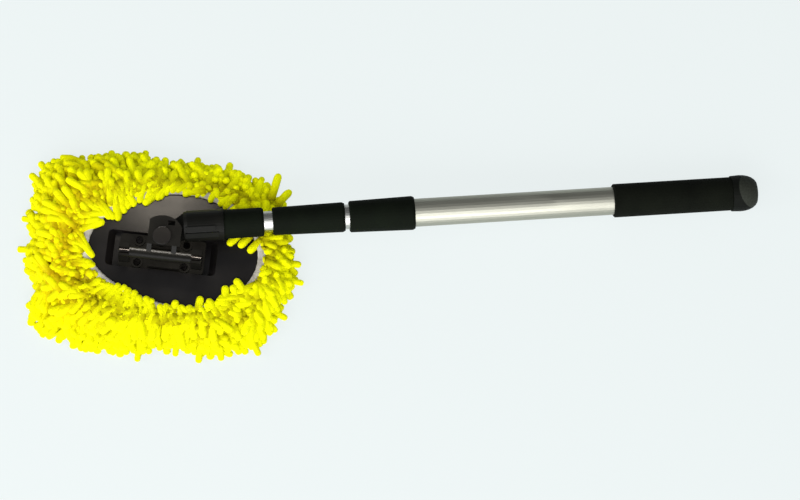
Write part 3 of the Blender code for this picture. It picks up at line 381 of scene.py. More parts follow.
def backing_cloth():
    """Knitted polyester backing: matt deep yellow between the tufts."""
    made, tree, shader, place = new_material("backing_cloth", Roughness=0.95, Sheen_Weight=0.2)
    # loops 3 mm apart
    loops = add_node(tree, "ShaderNodeTexVoronoi", {"Scale": 330.0}, {"Vector": place})
    colour = add_node(
        tree, "ShaderNodeValToRGB", links={"Fac": loops.outputs["Distance"]},
        stops=((0.1, "#E0D000"), (0.8, "#C4AE00")))
    knit = add_node(
        tree, "ShaderNodeBump", {"Strength": 0.8, "Distance": 0.0012},
        {"Height": loops.outputs["Distance"]})
    join(tree, shader, {"Base Color": colour.outputs["Color"], "Normal": knit.outputs["Normal"]})
    return made


def hem_tape():
    """Woven polyester tape over elastic: warm grey, with its cross ribs and a little dirt."""
    made, tree, shader, place = new_material(
        "hem_tape", Roughness=0.9, Sheen_Weight=0.25, Sheen_Roughness=0.5)
    # threads 0.8 mm apart, as coarse as they need to be to show
    threads = add_node(tree, "ShaderNodeTexVoronoi", {"Scale": 1250.0}, {"Vector": place})
    # stains about 11 mm across
    soil = add_node(tree, "ShaderNodeTexNoise", {"Scale": 90.0, "Detail": 4.0}, {"Vector": place})
    colour = add_node(
        tree, "ShaderNodeValToRGB", links={"Fac": soil.outputs["Fac"]},
        stops=((0.3, "#9C958A"), (0.6, "#C9C4BA"), (0.8, "#DAD6CE")))
    weave = add_node(
        tree, "ShaderNodeBump", {"Strength": 0.6, "Distance": 0.0004},
        {"Height": threads.outputs["Distance"]})
    join(tree, shader, {"Base Color": colour.outputs["Color"], "Normal": weave.outputs["Normal"]})
    return made


def moulded_plastic(name, dark, light, roughness, gloss, grain, depth):
    """Black moulded plastic: a fine spark-eroded grain that breaks up its satin shine."""
    made, tree, shader, place = new_material(name, IOR=1.49, Specular_IOR_Level=gloss)
    spark = add_node(tree, "ShaderNodeTexNoise", {"Scale": 1.0 / grain, "Detail": 3.0}, {"Vector": place})
    # hands polish it in patches about 29 mm across and leave others duller
    handling = add_node(
        tree, "ShaderNodeTexNoise", {"Scale": 35.0, "Detail": 5.0, "Roughness": 0.65}, {"Vector": place})
    colour = add_node(
        tree, "ShaderNodeValToRGB", links={"Fac": handling.outputs["Fac"]},
        stops=((0.3, dark), (0.75, light)))
    shine = add_node(
        tree, "ShaderNodeMapRange",
        {"From Min": 0.25, "From Max": 0.75, "To Min": roughness - 0.06, "To Max": roughness + 0.08},
        {"Value": handling.outputs["Fac"]})
    eroded = add_node(
        tree, "ShaderNodeBump", {"Strength": 0.35, "Distance": depth}, {"Height": spark.outputs["Fac"]})
    join(tree, shader, {
        "Base Color": colour.outputs["Color"],
        "Roughness": shine.outputs["Result"],
        "Normal": eroded.outputs["Normal"],
    })
    return made


def moulded_cap():
    """Moulded PVC cap: black round its skirt, with a painted sheen of lighter grey on the part of its domed
    end that faces out and up.
    """
    made, tree, shader, place = new_material("moulded_pvc", IOR=1.52, Specular_IOR_Level=0.12)
    # painted sheen: the part of the domed end that faces out and up is painted a lighter grey
    facing = add_node(
        tree, "ShaderNodeVectorMath", {"operation": "DOT_PRODUCT", 1: CAP_SHEEN_WAY}, {0: place})
    painted_sheen = add_node(
        tree, "ShaderNodeMapRange",
        {"From Min": CAP_SHEEN_START, "From Max": CAP_SHEEN_START + CAP_SHEEN_EDGE},
        {"Value": facing.outputs["Value"]})
    # grit scratches about 1.1 mm apart
    grit = add_node(tree, "ShaderNodeTexNoise", {"Scale": 900.0, "Detail": 3.0}, {"Vector": place})
    skirt = add_node(
        tree, "ShaderNodeValToRGB", links={"Fac": grit.outputs["Fac"]},
        stops=((0.3, "#070906"), (0.7, "#0D100A")))
    end = add_node(
        tree, "ShaderNodeValToRGB", links={"Fac": grit.outputs["Fac"]},
        stops=((0.3, "#292B25"), (0.7, "#353831")))
    colour = add_node(
        tree, "ShaderNodeMix", {"data_type": "RGBA"},
        {0: painted_sheen.outputs["Result"], 6: skirt.outputs["Color"], 7: end.outputs["Color"]})
    shine = add_node(
        tree, "ShaderNodeMapRange", {"To Min": 0.55, "To Max": 0.75}, {"Value": grit.outputs["Fac"]})
    scratched = add_node(
        tree, "ShaderNodeBump", {"Strength": 0.3, "Distance": 0.0001}, {"Height": grit.outputs["Fac"]})
    join(tree, shader, {
        "Base Color": colour.outputs[2],
        "Roughness": shine.outputs["Result"],
        "Normal": scratched.outputs["Normal"],
    })
    return made


def drawn_aluminium(name, dark, light, roughness, anisotropic):
    """Aluminium tube, drawn and then satin anodised: long fine draw lines down its length
    and a soft bright band where it faces the light."""
    made, tree, shader, place = new_material(name, Metallic=1.0, Anisotropic=anisotropic)
    # draw lines 0.6 mm apart across the tube and 60 mm long down it
    lengthwise = add_node(
        tree, "ShaderNodeMapping", {"Rotation": (0, HEAD_TILT, -POLE_YAW), "Scale": (16.0, 1600.0, 1600.0)},
        {"Vector": place})
    lines = add_node(
        tree, "ShaderNodeTexNoise", {"Scale": 1.0, "Detail": 4.0}, {"Vector": lengthwise.outputs["Vector"]})
    colour = add_node(
        tree, "ShaderNodeValToRGB", links={"Fac": lines.outputs["Fac"]},
        stops=((0.25, dark), (0.75, light)))
    shine = add_node(
        tree, "ShaderNodeMapRange", {"To Min": roughness - 0.03, "To Max": roughness + 0.04},
        {"Value": lines.outputs["Fac"]})
    drawn = add_node(
        tree, "ShaderNodeBump", {"Strength": 0.08, "Distance": 0.0002}, {"Height": lines.outputs["Fac"]})
    join(tree, shader, {
        "Base Color": colour.outputs["Color"],
        "Roughness": shine.outputs["Result"],
        "Normal": drawn.outputs["Normal"],
    })
    return made


def grip_foam():
    """Moulded EPDM grip: dead matt black skin with open pores."""
    made, tree, shader, place = new_material("grip_foam", Roughness=0.9, Specular_IOR_Level=0.1)
    # pores about 1.1 mm across, in a bloom about 25 mm across
    pores = add_node(tree, "ShaderNodeTexVoronoi", {"Scale": 900.0}, {"Vector": place})
    bloom = add_node(tree, "ShaderNodeTexNoise", {"Scale": 40.0, "Detail": 4.0}, {"Vector": place})
    colour = add_node(
        tree, "ShaderNodeValToRGB", links={"Fac": bloom.outputs["Fac"]},
        stops=((0.3, "#080A06"), (0.7, "#11140D")))
    skin = add_node(
        tree, "ShaderNodeBump", {"Strength": 0.5, "Distance": 0.0004},
        {"Height": pores.outputs["Distance"]})
    join(tree, shader, {"Base Color": colour.outputs["Color"], "Normal": skin.outputs["Normal"]})
    return made


def zinc_steel():
    """Zinc-plated steel: cool grey, with the faint mottling of the bright dip."""
    made, tree, shader, place = new_material("zinc_steel", Metallic=1.0)
    # mottling about 2 mm across
    dip = add_node(tree, "ShaderNodeTexNoise", {"Scale": 500.0, "Detail": 3.0}, {"Vector": place})
    colour = add_node(
        tree, "ShaderNodeValToRGB", links={"Fac": dip.outputs["Fac"]},
        stops=((0.3, "#8F9193"), (0.7, "#C9CBCC")))
    shine = add_node(
        tree, "ShaderNodeMapRange", {"To Min": 0.25, "To Max": 0.42}, {"Value": dip.outputs["Fac"]})
    join(tree, shader, {"Base Color": colour.outputs["Color"], "Roughness": shine.outputs["Result"]})
    return made


def black_steel():
    """Black-oxide steel: almost black, with a low oily gloss on its round parts."""
    made, tree, shader, place = new_material("black_steel", Metallic=1.0)
    # patches of oxide about 3.3 mm across
    oxide = add_node(tree, "ShaderNodeTexNoise", {"Scale": 300.0, "Detail": 4.0}, {"Vector": place})
    colour = add_node(
        tree, "ShaderNodeValToRGB", links={"Fac": oxide.outputs["Fac"]},
        stops=((0.3, "#242120"), (0.7, "#3A3735")))
    shine = add_node(
        tree, "ShaderNodeMapRange", {"To Min": 0.26, "To Max": 0.4}, {"Value": oxide.outputs["Fac"]})
    join(tree, shader, {"Base Color": colour.outputs["Color"], "Roughness": shine.outputs["Result"]})
    return made


def moulded_acetal():
    """Natural acetal: waxy off-white with a soft, slightly cloudy gloss."""
    made, tree, shader, place = new_material(
        "moulded_acetal", IOR=1.48, Roughness=0.35, Subsurface_Weight=0.1)
    # clouds about 8 mm across
    cloud = add_node(tree, "ShaderNodeTexNoise", {"Scale": 120.0, "Detail": 2.0}, {"Vector": place})
    colour = add_node(
        tree, "ShaderNodeValToRGB", links={"Fac": cloud.outputs["Fac"]},
        stops=((0.3, "#CFCCC2"), (0.7, "#E6E4DC")))
    join(tree, shader, {"Base Color": colour.outputs["Color"]})
    return made


def braided_elastic():
    """Covered rubber elastic: a braid of white cotton."""
    made, tree, shader, place = new_material("braided_elastic", Roughness=0.9)
    # plaits 1 mm long
    plait = add_node(tree, "ShaderNodeTexVoronoi", {"Scale": 1000.0}, {"Vector": place})
    colour = add_node(
        tree, "ShaderNodeValToRGB", links={"Fac": plait.outputs["Distance"]},
        stops=((0.1, "#E4E1DA"), (0.7, "#B4B0A6")))
    braid = add_node(
        tree, "ShaderNodeBump", {"Strength": 0.5, "Distance": 0.0003},
        {"Height": plait.outputs["Distance"]})
    join(tree, shader, {"Base Color": colour.outputs["Color"], "Normal": braid.outputs["Normal"]})
    return made


def oval_radius(angle, length, width, power):
    """Distance from the middle of a superellipse to its edge at this angle."""
    across = abs(math.cos(angle) / (length / 2)) ** power
    up = abs(math.sin(angle) / (width / 2)) ** power
    return (across + up) ** (-1 / power)


def plate_edge(angle):
    return oval_radius(angle, PLATE_LENGTH, PLATE_WIDTH, PLATE_ROUND_POWER)


def opening_edge(angle):
    """Distance from the head's middle to the opening's edge at this angle."""
    edge = oval_radius(angle, OPENING_LENGTH, OPENING_WIDTH, OPENING_ROUND_POWER)
    return edge + OPENING_SHIFT.x * math.cos(angle) + OPENING_SHIFT.y * math.sin(angle)


def hem_point(angle):
    """Middle of the hem's width at this angle."""
    return Vector((math.cos(angle), math.sin(angle))) * (opening_edge(angle) + HEM_WIDTH / 2)


def floor_level(point):
    """Height of the floor in the head frame under this point."""
    return (math.sin(HEAD_TILT) * point.x - SOLE_HEIGHT) / math.cos(HEAD_TILT)


def turn_from(angle, middle):
    return abs((angle - middle + math.pi) % (2 * math.pi) - math.pi)


def ceiling_level(angle, reach):
    """Height that the noodles stay under: lower where the pole lies or sweeps over them."""
    near = max(0.0, 1 - turn_from(angle, POLE_ANGLE) / POLE_SPREAD)
    laid = CEILING + (POLE_CEILING - CEILING) * min(1.0, 2 * near)
    return min(laid, SWEEP_CEILING + SWEEP_SLOPE * max(0.0, reach - SWEEP_HEEL))


def read_round(table, angle):
    """Value at this angle from (degrees, value) rows that go once round."""
    degrees = math.degrees(angle) % 360
    rows = table + ((table[0][0] + 360, table[0][1]),)
    for (first, low), (last, high) in zip(rows, rows[1:]):
        if first <= degrees <= last:
            share = (degrees - first) / (last - first)
            return low + (high - low) * (3 - 2 * share) * share * share
    return rows[0][1]


def pad_edge(angle):
    return read_round(PAD_REACH, angle) - TUFT_STAND


def crown_level(angle, share):
    """Height of the noodles' tips over the ring, from the hem (0) to the pad's edge (1)."""
    inner = opening_edge(angle)
    top = ceiling_level(angle, inner + share * (pad_edge(angle) - inner)) - NOODLE_RADIUS
    edge = Vector((math.cos(angle), math.sin(angle), 0)) * pad_edge(angle)
    low = floor_level(edge) + NOODLE_RADIUS * EDGE_LEVEL
    fall = max(0.0, share - CROWN_SHARE) / (1 - CROWN_SHARE)
    return low + (top - low) * math.sqrt(max(0.0, 1 - fall * fall))


def curved_spine(root, middle, tip):
    """Points on one smooth bend from the root to the tip."""
    points = []
    for k in range(NOODLE_STEPS + 1):
        share = k / NOODLE_STEPS
        point = root * (1 - share) ** 2 + middle * 2 * share * (1 - share) + tip * share * share
        top = ceiling_level(math.atan2(point.y, point.x), point.xy.length)
        point.z = min(point.z, top - NOODLE_RADIUS * CLEAR_LEVEL)
        points.append(point)
    return points


def spine_at(points, share):
    place = share * (len(points) - 1)
    first = min(int(place), len(points) - 2)
    return points[first].lerp(points[first + 1], place - first)


class Pile:
    """Noodles collected into one mesh, with how far along each a point lies, scaled down where a noodle is
    painted in shade, and its tone.
    """

    def __init__(self):
        self.points = []
        self.faces = []
        self.along = []
        self.tone = []

    def add_ring(self, middle, across, up, radius, share, tone, sides):
        for k in range(sides):
            turn = 2 * math.pi * k / sides
            self.points.append(middle + (across * math.cos(turn) + up * math.sin(turn)) * radius)
            self.along.append(share)
            self.tone.append(tone)

    def add_noodle(self, spine, radius, tone, lit=1.0, sides=NOODLE_SIDES):
        """A lumpy tube along the spine, closed flat at its root and round at its tip."""
        length = sum((b - a).length for a, b in zip(spine, spine[1:]))
        tip = min(radius / length, LONGEST_TIP_SHARE)
        stations = []
        for share in BODY_STATIONS:
            stations.append((share * (1 - tip) / BODY_STATIONS[-1] * BODY_END_SHARE, 1.0))
        stations += [(1 - tip * back, wide) for back, wide in TIP_STATIONS]
        start = len(self.points)
        across = None
        for share, wide in stations:
            middle = spine_at(spine, share)
            behind = spine_at(spine, max(share - AHEAD_SHARE, 0.0))
            ahead = (spine_at(spine, min(share + AHEAD_SHARE, 1.0)) - behind).normalized()
            if across is None:
                across = ahead.orthogonal().normalized()
            across = (across - ahead * across.dot(ahead)).normalized()
            up = ahead.cross(across)
            shift = Vector((tone * LUMPS_TONE_SHIFT, 0, 0))
            lump = 1 + LUMPS_SHARE * noise.noise(middle * LUMPS_PER_METRE + shift)
            # a noodle that is lit less keeps less of the bright tip colour: painted shade
            self.add_ring(middle, across, up, radius * wide * lump, share * lit, tone, sides)
        rings = len(stations)
        for r in range(rings - 1):
            for k in range(sides):
                a = start + r * sides + k
                b = start + r * sides + (k + 1) % sides
                self.faces.append((a, b, b + sides, a + sides))
        self.faces.append(tuple(start + k for k in reversed(range(sides))))
        self.points.append(spine[-1].copy())
        self.along.append(lit)
        self.tone.append(tone)
        last = start + (rings - 1) * sides
        for k in range(sides):
            self.faces.append((last + k, last + (k + 1) % sides, len(self.points) - 1))

    def finish(self, name, material):
        mesh = bpy.data.meshes.new(name)
        mesh.from_pydata([HEAD @ p for p in self.points], [], self.faces)
        for key, values in (("along", self.along), ("tone", self.tone)):
            attribute = mesh.attributes.new(key, "FLOAT", "POINT")
            attribute.data.foreach_set("value", np.array(values, np.float32))
        return shown(name, mesh, material)


def shown(name, mesh, material, smooth=True):
    """A shaded object from a mesh whose points are already in place."""
    mesh.materials.append(material)
    mesh.polygons.foreach_set("use_smooth", [smooth] * len(mesh.polygons))
    mesh.update()
    made = bpy.data.objects.new(name, mesh)
    bpy.context.scene.collection.objects.link(made)
    return made


def patchy(place, patches):
    """Noise over the pad in patches of one size and strength."""
    level, per_metre, strength = patches
    return strength * noise.noise(Vector((place.x, place.y, level)) * per_metre)


def combed(place):
    """Sideways sweep of the pile at this place, in the clumps that wear leaves it in."""
    return patchy(place, BROAD_CLUMPS) + patchy(place, FINE_CLUMPS)


def outward(angle):
    """Direction square to the plate's edge at this angle."""
    before, after = angle - EDGE_STEP, angle + EDGE_STEP
    a = Vector((math.cos(before), math.sin(before))) * plate_edge(before)
    b = Vector((math.cos(after), math.sin(after))) * plate_edge(after)
    along = (b - a).normalized()
    return Vector((along.y, -along.x, 0))


def slice_of(angle):
    """Number of the pad's slice that holds this angle, from 0."""
    return int(((angle + math.pi / SLICES) % (2 * math.pi)) / (2 * math.pi / SLICES)) % SLICES


def ring_share(angle, reach):
    inner = opening_edge(angle)
    return (reach - inner) / (pad_edge(angle) - inner)


def lean_at(angle, share):
    """Lean of the pile from upright, in radians: below zero it hangs in over the hem."""
    start = read_round(FLOW_START, angle)
    cover = read_round(HEM_COVER, angle)
    inner = cover * max(0.0, 1 - share / HEM_LEAN_SHARE)
    flow = max(0.0, share - start) / (1 - start)
    return FLOW_LEAN * min(1.0, FLOW_RATE * flow) - HEM_LEAN * inner


def near_any(cells, place, reach, way, stretch):
    """Whether a kept place lies within reach of this one, or a few reaches along the pile's lean."""
    column, row = place.x // TIP_CELL, place.y // TIP_CELL
    for i in (-1, 0, 1):
        for j in (-1, 0, 1):
            for kept in cells.get((column + i, row + j), ()):
                gap = kept - place
                along = gap.dot(way)
                if gap.length_squared + along * along * (1 / stretch ** 2 - 1) < reach * reach:
                    return True
    return False


def scatter_tips(rng):
    """Places of the noodles' tips over the ring, the lower layers in the gaps of those above."""
    kept = []
    above = {}
    across, up = TIP_FIELD
    for space, clear, depth, along_lean, lit in TIP_LAYERS:
        level = {}
        for _ in range(TIP_TRIES):
            place = Vector((rng.uniform(-across, across), rng.uniform(-up, up), 0))
            angle = math.atan2(place.y, place.x)
            share = ring_share(angle, place.length)
            first = TIP_FIRST_SHARE - COVER_SHARE * read_round(HEM_COVER, angle)
            if not first < share < 1 + patchy(place, RAGGED_PATCHES):
                continue
            lean = lean_at(angle, share)
            way = outward(angle)
            stretch = 1 + along_lean * min(1.0, abs(lean) / FLOW_LEAN)
            if near_any(level, place, space, way, stretch) or near_any(above, place, clear, way, stretch):
                continue
            level.setdefault((place.x // TIP_CELL, place.y // TIP_CELL), []).append(place)
            # painted shade: deeper layers keep less of the tips' bright colour, fading in from the hem and
            # out towards the pad's edge
            deep = min(max(0.0, share / INNER_SHADE_SHARE), max(0.0, (1.0 - share) / OUTER_SHADE_SHARE))
            shade = (1 - lit) * min(1.0, deep)
            kept.append((place, angle, share, lean, depth, 1 - shade))
        for cell, places in level.items():
            above.setdefault(cell, []).extend(places)
    return kept


def cloth_point(place):
    """Nearest point of the backing cloth to a place in the ring, for the noodle's root."""
    angle = math.atan2(place.y, place.x)
    reach = math.hypot(place.x, place.y)
    inner = opening_edge(angle) + HEM_WIDTH
    edge = plate_edge(angle)
    held = min(max(reach, inner), edge + CLOTH)
    down = 0.0 if reach < edge else min(CLOTH_LONGEST_FALL, (reach - edge) * CLOTH_FALL)
    return Vector((math.cos(angle) * held, math.sin(angle) * held, PLATE_TOP + CLOTH - down))


def side_root(place):
    """The same on the backing's side, below the rim of the plate."""
    root = cloth_point(place)
    root.z = min(root.z, SIDE_ROOT_TOP)
    return root


def crown_noodles(rng, piles):
    """The pile as it is seen from above: each noodle runs from the cloth to its tip."""
    for place, angle, share, lean, depth, lit in scatter_tips(rng):
        out = outward(angle)
        side = Vector((-out.y, out.x, 0))
        sweep = combed(place) * COMB_STRENGTH + rng.gauss(0, TURN_SPREAD)
        tilt = lean + rng.gauss(0, LEAN_SPREAD)
        way = (out * math.cos(sweep) + side * math.sin(sweep)).normalized()
        heading = (Vector((0, 0, math.cos(tilt))) + way * math.sin(tilt)).normalized()
        length = NOODLE_LENGTH * rng.uniform(*CROWN_LENGTHS)
        level = crown_level(angle, min(1.0, share)) - depth - rng.uniform(0, CROWN_JITTER)
        level = max(level, floor_level(place) + NOODLE_RADIUS)
        clear = ceiling_level(angle, place.length) - NOODLE_RADIUS * CLEAR_LEVEL
        rest = min(PLATE_TOP + NOODLE_RADIUS, clear)
        if share > HEM_SHARE:
            rest -= depth / 2
        if place.length < plate_edge(angle):
            level = max(level, rest)
        tip = place + Vector((0, 0, level))
        if share < HEM_SHARE:
            tip.z = min(tip.z, HEM_REST)
        start = tip - heading * length
        root = cloth_point(start)
        middle = tip - heading * (length * BEND_SHARE)
        middle.z = max(middle.z, floor_level(middle) + NOODLE_RADIUS)
        if middle.xy.length < plate_edge(angle) + NOODLE_RADIUS:
            middle.z = max(middle.z, rest)
        radius = NOODLE_RADIUS * rng.uniform(*CROWN_RADII)
        piles[slice_of(angle)].add_noodle(curved_spine(root, middle, tip), radius, rng.random(), lit)


def skirt_noodles(rng, piles):
    """Rows below the crown that reach down to the floor all round."""
    for share, drop, slope in SKIRT_ROWS:
        angle = rng.uniform(0, SKIRT_START)
        while angle < 2 * math.pi:
            reach = pad_edge(angle) * share * rng.uniform(*SKIRT_REACHES)
            out = outward(angle)
            side = Vector((-out.y, out.x, 0))
            tip = Vector((math.cos(angle) * reach, math.sin(angle) * reach, 0))
            floor = floor_level(tip) + NOODLE_RADIUS * SKIRT_LEVEL
            tip.z = floor + (1 - drop) * SKIRT_RISE
            turn = combed(tip) * SKIRT_COMB + rng.gauss(0, SKIRT_SPREAD)
            heading = (out + side * turn + Vector((0, 0, slope))).normalized()
            length = NOODLE_LENGTH * rng.uniform(*SKIRT_LENGTHS)
            middle = tip - heading * (length * BEND_SHARE)
            middle.z = max(middle.z, floor)
            root = side_root(tip - heading * length)
            radius = NOODLE_RADIUS * rng.uniform(*SKIRT_RADII)
            piles[slice_of(angle)].add_noodle(curved_spine(root, middle, tip), radius, rng.random())
            angle += SKIRT_PITCH * rng.uniform(*SKIRT_PITCHES) / reach


def stray_noodles(rng, piles):
    """Long noodles that fell in over the plate or stand out from the pad's edge."""
    for (ax, ay), (bx, by), level in STRAYS:
        root = Vector((ax, ay, PLATE_TOP + CLOTH))
        tip = Vector((bx, by, level))
        middle = root.lerp(tip, STRAY_BEND_SHARE)
        middle.z = max(level, PLATE_TOP + NOODLE_RADIUS) + STRAY_ARCH
        angle = math.atan2(ay, ax)
        piles[slice_of(angle)].add_noodle(curved_spine(root, middle, tip), NOODLE_RADIUS, rng.random())


def tuft_noodles(rng, piles):
    """Clumps of three noodles whose tips draw together at a point beyond the pad's edge."""
    outer_level, middle_level = TUFT_LEVELS
    for x, y in TUFTS:
        angle = math.atan2(y, x)
        out = outward(angle)
        side = Vector((-out.y, out.x, 0))
        for place in (-1, 0, 1):
            tip = Vector((x, y, 0)) + side * (place * TUFT_SPREAD) - out * (abs(place) * TUFT_STEP)
            turn = side * rng.gauss(0, TUFT_TURN_SPREAD)
            way = (out - side * (place * TUFT_CLOSING) + turn).normalized()
            tip.z = floor_level(tip) + NOODLE_RADIUS * (outer_level if place else middle_level)
            middle = tip - way * (NOODLE_LENGTH * TUFT_BEND_SHARE)
            middle.z = tip.z + TUFT_ARCH
            root = side_root(tip - way * NOODLE_LENGTH)
            spine = curved_spine(root, middle, tip)
            radius = NOODLE_RADIUS * rng.uniform(*TUFT_RADII)
            piles[slice_of(angle)].add_noodle(spine, radius, rng.random())


def build_pad(chenille):
    rng = random.Random(SEED)
    piles = [Pile() for _ in range(SLICES)]
    crown_noodles(rng, piles)
    skirt_noodles(rng, piles)
    stray_noodles(rng, piles)
    tuft_noodles(rng, piles)
    for number, pile in enumerate(piles, 1):
        piece = pile.finish(f"chenille_noodles_{number}", chenille)
        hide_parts(f"chenille_slice_{number}")
        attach(piece, "head")


def build_sole(chenille):
    """Noodles under the pad, pressed flat by its weight."""
    rng = random.Random(SEED + 1)
    pile = Pile()
    rows = int(SOLE_ROWS_REACH / SOLE_PITCH) + 1
    columns = int(SOLE_COLUMNS_REACH / SOLE_PITCH) + 1
    for row in range(-rows, rows + 1):
        for column in range(-columns, columns + 1):
            x = column * SOLE_PITCH + rng.uniform(-1, 1) * SOLE_JITTER
            y = row * SOLE_PITCH + rng.uniform(-1, 1) * SOLE_JITTER
            angle = math.atan2(y, x)
            if math.hypot(x, y) > pad_edge(angle) * SOLE_REACH_SHARE:
                continue
            turn = angle + rng.gauss(0, SOLE_TURN_SPREAD)
            way = Vector((math.cos(turn), math.sin(turn), 0))
            radius = NOODLE_RADIUS * rng.uniform(*SOLE_RADII)
            tip = Vector((x, y, 0)) + way * SOLE_TIP
            tip.z = floor_level(tip) + radius
            root = Vector((x, y, 0)) - way * SOLE_ROOT
            root.z = floor_level(root) + radius * SOLE_ROOT_LEVEL
            middle = Vector((x, y, 0))
            middle.z = floor_level(middle) + radius
            pile.add_noodle(curved_spine(root, middle, tip), radius, rng.random(), sides=SOLE_SIDES)
    piece = pile.finish("sole_noodles", chenille)
    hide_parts("chenille_sole")
    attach(piece, "head")


def ring_faces(stations, sides):
    """Faces of a closed band whose points go round in rings of this many sides."""
    faces = []
    for k in range(stations):
        following = (k + 1) % stations
        for j in range(sides):
            after = (j + 1) % sides
            faces.append((
                k * sides + j, following * sides + j,
                following * sides + after, k * sides + after))
    return faces


def backing_section(angle):
    """Reach and height of the cloth's corners at this angle, going once round its thickness."""
    edge = plate_edge(angle)
    inner = opening_edge(angle) + HEM_WIDTH / 2
    out = pad_edge(angle) - BACKING_INSET
    far = Vector((math.cos(angle), math.sin(angle), 0)) * out
    top = PLATE_TOP + CLOTH
    section = [(inner, PLATE_TOP + SEAT), (inner, top)]
    section.append((edge, min(top, crown_level(angle, BACKING_CROWN_SHARE) - CROWN_CLEAR)))
    section += [(out + step, level) for step, level in BACKING_SIDE]
    section.append((out - BACKING_FOOT_STEP, floor_level(far) + BACKING_FLOOR))
    lower_step, lower = BACKING_LOWER
    upper_step, upper = BACKING_UPPER
    section += [(edge - lower_step, lower), (edge * BACKING_END_SHARE, lower)]
    section += [(edge * BACKING_END_SHARE, upper), (edge - upper_step, upper)]
    section += [(edge + step, level) for step, level in BACKING_RIM]
    section += [(edge + step, PLATE_TOP + level) for step, level in BACKING_LIP]
    return section


def build_backing(cloth):
    """The knitted cloth that the noodles are sewn to: over the rim, out, down and under."""
    points = []
    for k in range(BACKING_STATIONS):
        angle = 2 * math.pi * k / BACKING_STATIONS
        section = backing_section(angle)
        for reach, level in section:
            points.append(HEAD @ Vector((math.cos(angle) * reach, math.sin(angle) * reach, level)))
    mesh = bpy.data.meshes.new("pad_backing")
    mesh.from_pydata(points, [], ring_faces(BACKING_STATIONS, len(section)))
    piece = shown("pad_backing", mesh, cloth)
    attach(piece, "head")


def build_hem(tape):
    """Rolled tape gathered on its elastic, so its outer edge puckers."""
    middle_level = PLATE_TOP + SEAT + HEM_THICKNESS / 2 * HEM_SEAT_SHARE
    points = []
    for k in range(HEM_STATIONS):
        turn = 2 * math.pi * k / HEM_STATIONS
        middle = hem_point(turn)
        after = hem_point(turn + EDGE_STEP)
        along = (after - middle).normalized()
        across = Vector((along.y, -along.x))
        patch = Vector((math.cos(turn) * GATHER_PATCHES, math.sin(turn) * GATHER_PATCHES, GATHER_LEVEL))
        slow = noise.noise(patch)
        pucker = math.sin(turn * GATHERS + GATHER_DRIFT * slow) * (PUCKER_DEPTH + PUCKER_WANDER * slow)
        for j in range(HEM_SIDES):
            roll = 2 * math.pi * j / HEM_SIDES
            reach = math.cos(roll) * (HEM_WIDTH / 2 + PUCKER_OUT * pucker)
            lift = 1 + PUCKER_UP_SHARE * pucker * (0.5 + 0.5 * math.cos(roll))
            rise = math.sin(roll) * (HEM_THICKNESS / 2) * lift
            place = middle + across * reach
            points.append(HEAD @ Vector((place.x, place.y, middle_level + rise)))
    mesh = bpy.data.meshes.new("hem_tape_roll")
    mesh.from_pydata(points, [], ring_faces(HEM_STATIONS, HEM_SIDES))
    piece = shown("hem_tape_roll", mesh, tape)
    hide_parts("hem_band")
    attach(piece, "head")


def finish_nodes(finishes):
    """Each rigid node keeps its own mesh and takes its finish."""
    for finish, names in finishes:
        for name in names:
            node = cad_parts[name]
            node.data.materials.clear()
            node.data.materials.append(finish)


def build_floor():
    """Pale studio floor that the camera and the metal see as the plain background."""
    made = bpy.data.materials.new("studio_floor")
    made.use_nodes = True
    tree = made.node_tree
    tree.nodes.clear()
    path = add_node(tree, "ShaderNodeLightPath")
    mirrored = add_node(
        tree, "ShaderNodeMath", {"operation": "MAXIMUM"},
        {0: path.outputs["Is Glossy Ray"], 1: path.outputs["Is Transmission Ray"]})
    dimmed = add_node(
        tree, "ShaderNodeMath", {"operation": "MULTIPLY", 1: FLOOR_MIRRORED}, {0: mirrored.outputs[0]})
    direct = add_node(
        tree, "ShaderNodeMath", {"operation": "MULTIPLY", 1: FLOOR_SEEN},
        {0: path.outputs["Is Camera Ray"]})
    seen = add_node(
        tree, "ShaderNodeMath", {"operation": "MAXIMUM"}, {0: direct.outputs[0], 1: dimmed.outputs[0]})
    paper = add_node(tree, "ShaderNodeBsdfDiffuse", {"Color": linear("#E4ECEB")})
    glow = add_node(tree, "ShaderNodeEmission", {"Color": linear("#EFF6F6"), "Strength": 1.0})
    mix = add_node(tree, "ShaderNodeMixShader", links={
        0: seen.outputs[0], 1: paper.outputs[0], 2: glow.outputs[0]})
    add_node(tree, "ShaderNodeOutputMaterial", links={"Surface": mix.outputs[0]})
    mesh = bpy.data.meshes.new("studio_floor")
    corners = [(x * FLOOR_REACH, y * FLOOR_REACH, 0) for x, y in ((-1, -1), (1, -1), (1, 1), (-1, 1))]
    mesh.from_pydata(corners, [], [(0, 1, 2, 3)])
    shown("studio_floor", mesh, made, smooth=False)


def add_lamp(name, place, aim, size, power, colour="#FFFFFF", shadow=True):
    lamp = bpy.data.lights.new(name, "AREA")
    lamp.use_shadow = shadow
    lamp.shape = "RECTANGLE"
    lamp.size, lamp.size_y = size
    lamp.energy = power
    lamp.color = linear(colour)[:3]
    made = bpy.data.objects.new(name, lamp)
    made.location = place
    made.rotation_euler = (Vector(aim) - Vector(place)).to_track_quat("-Z", "Y").to_euler()
    bpy.context.scene.collection.objects.link(made)


def light_only(lamp, names):
    """Keep a lamp's light to these pieces, as a flag between it and the rest would."""
    lit = bpy.data.collections.new(lamp + "_lights")
    for name in names:
        lit.objects.link(bpy.data.objects[name])
    bpy.data.objects[lamp].light_linking.receiver_collection = lit


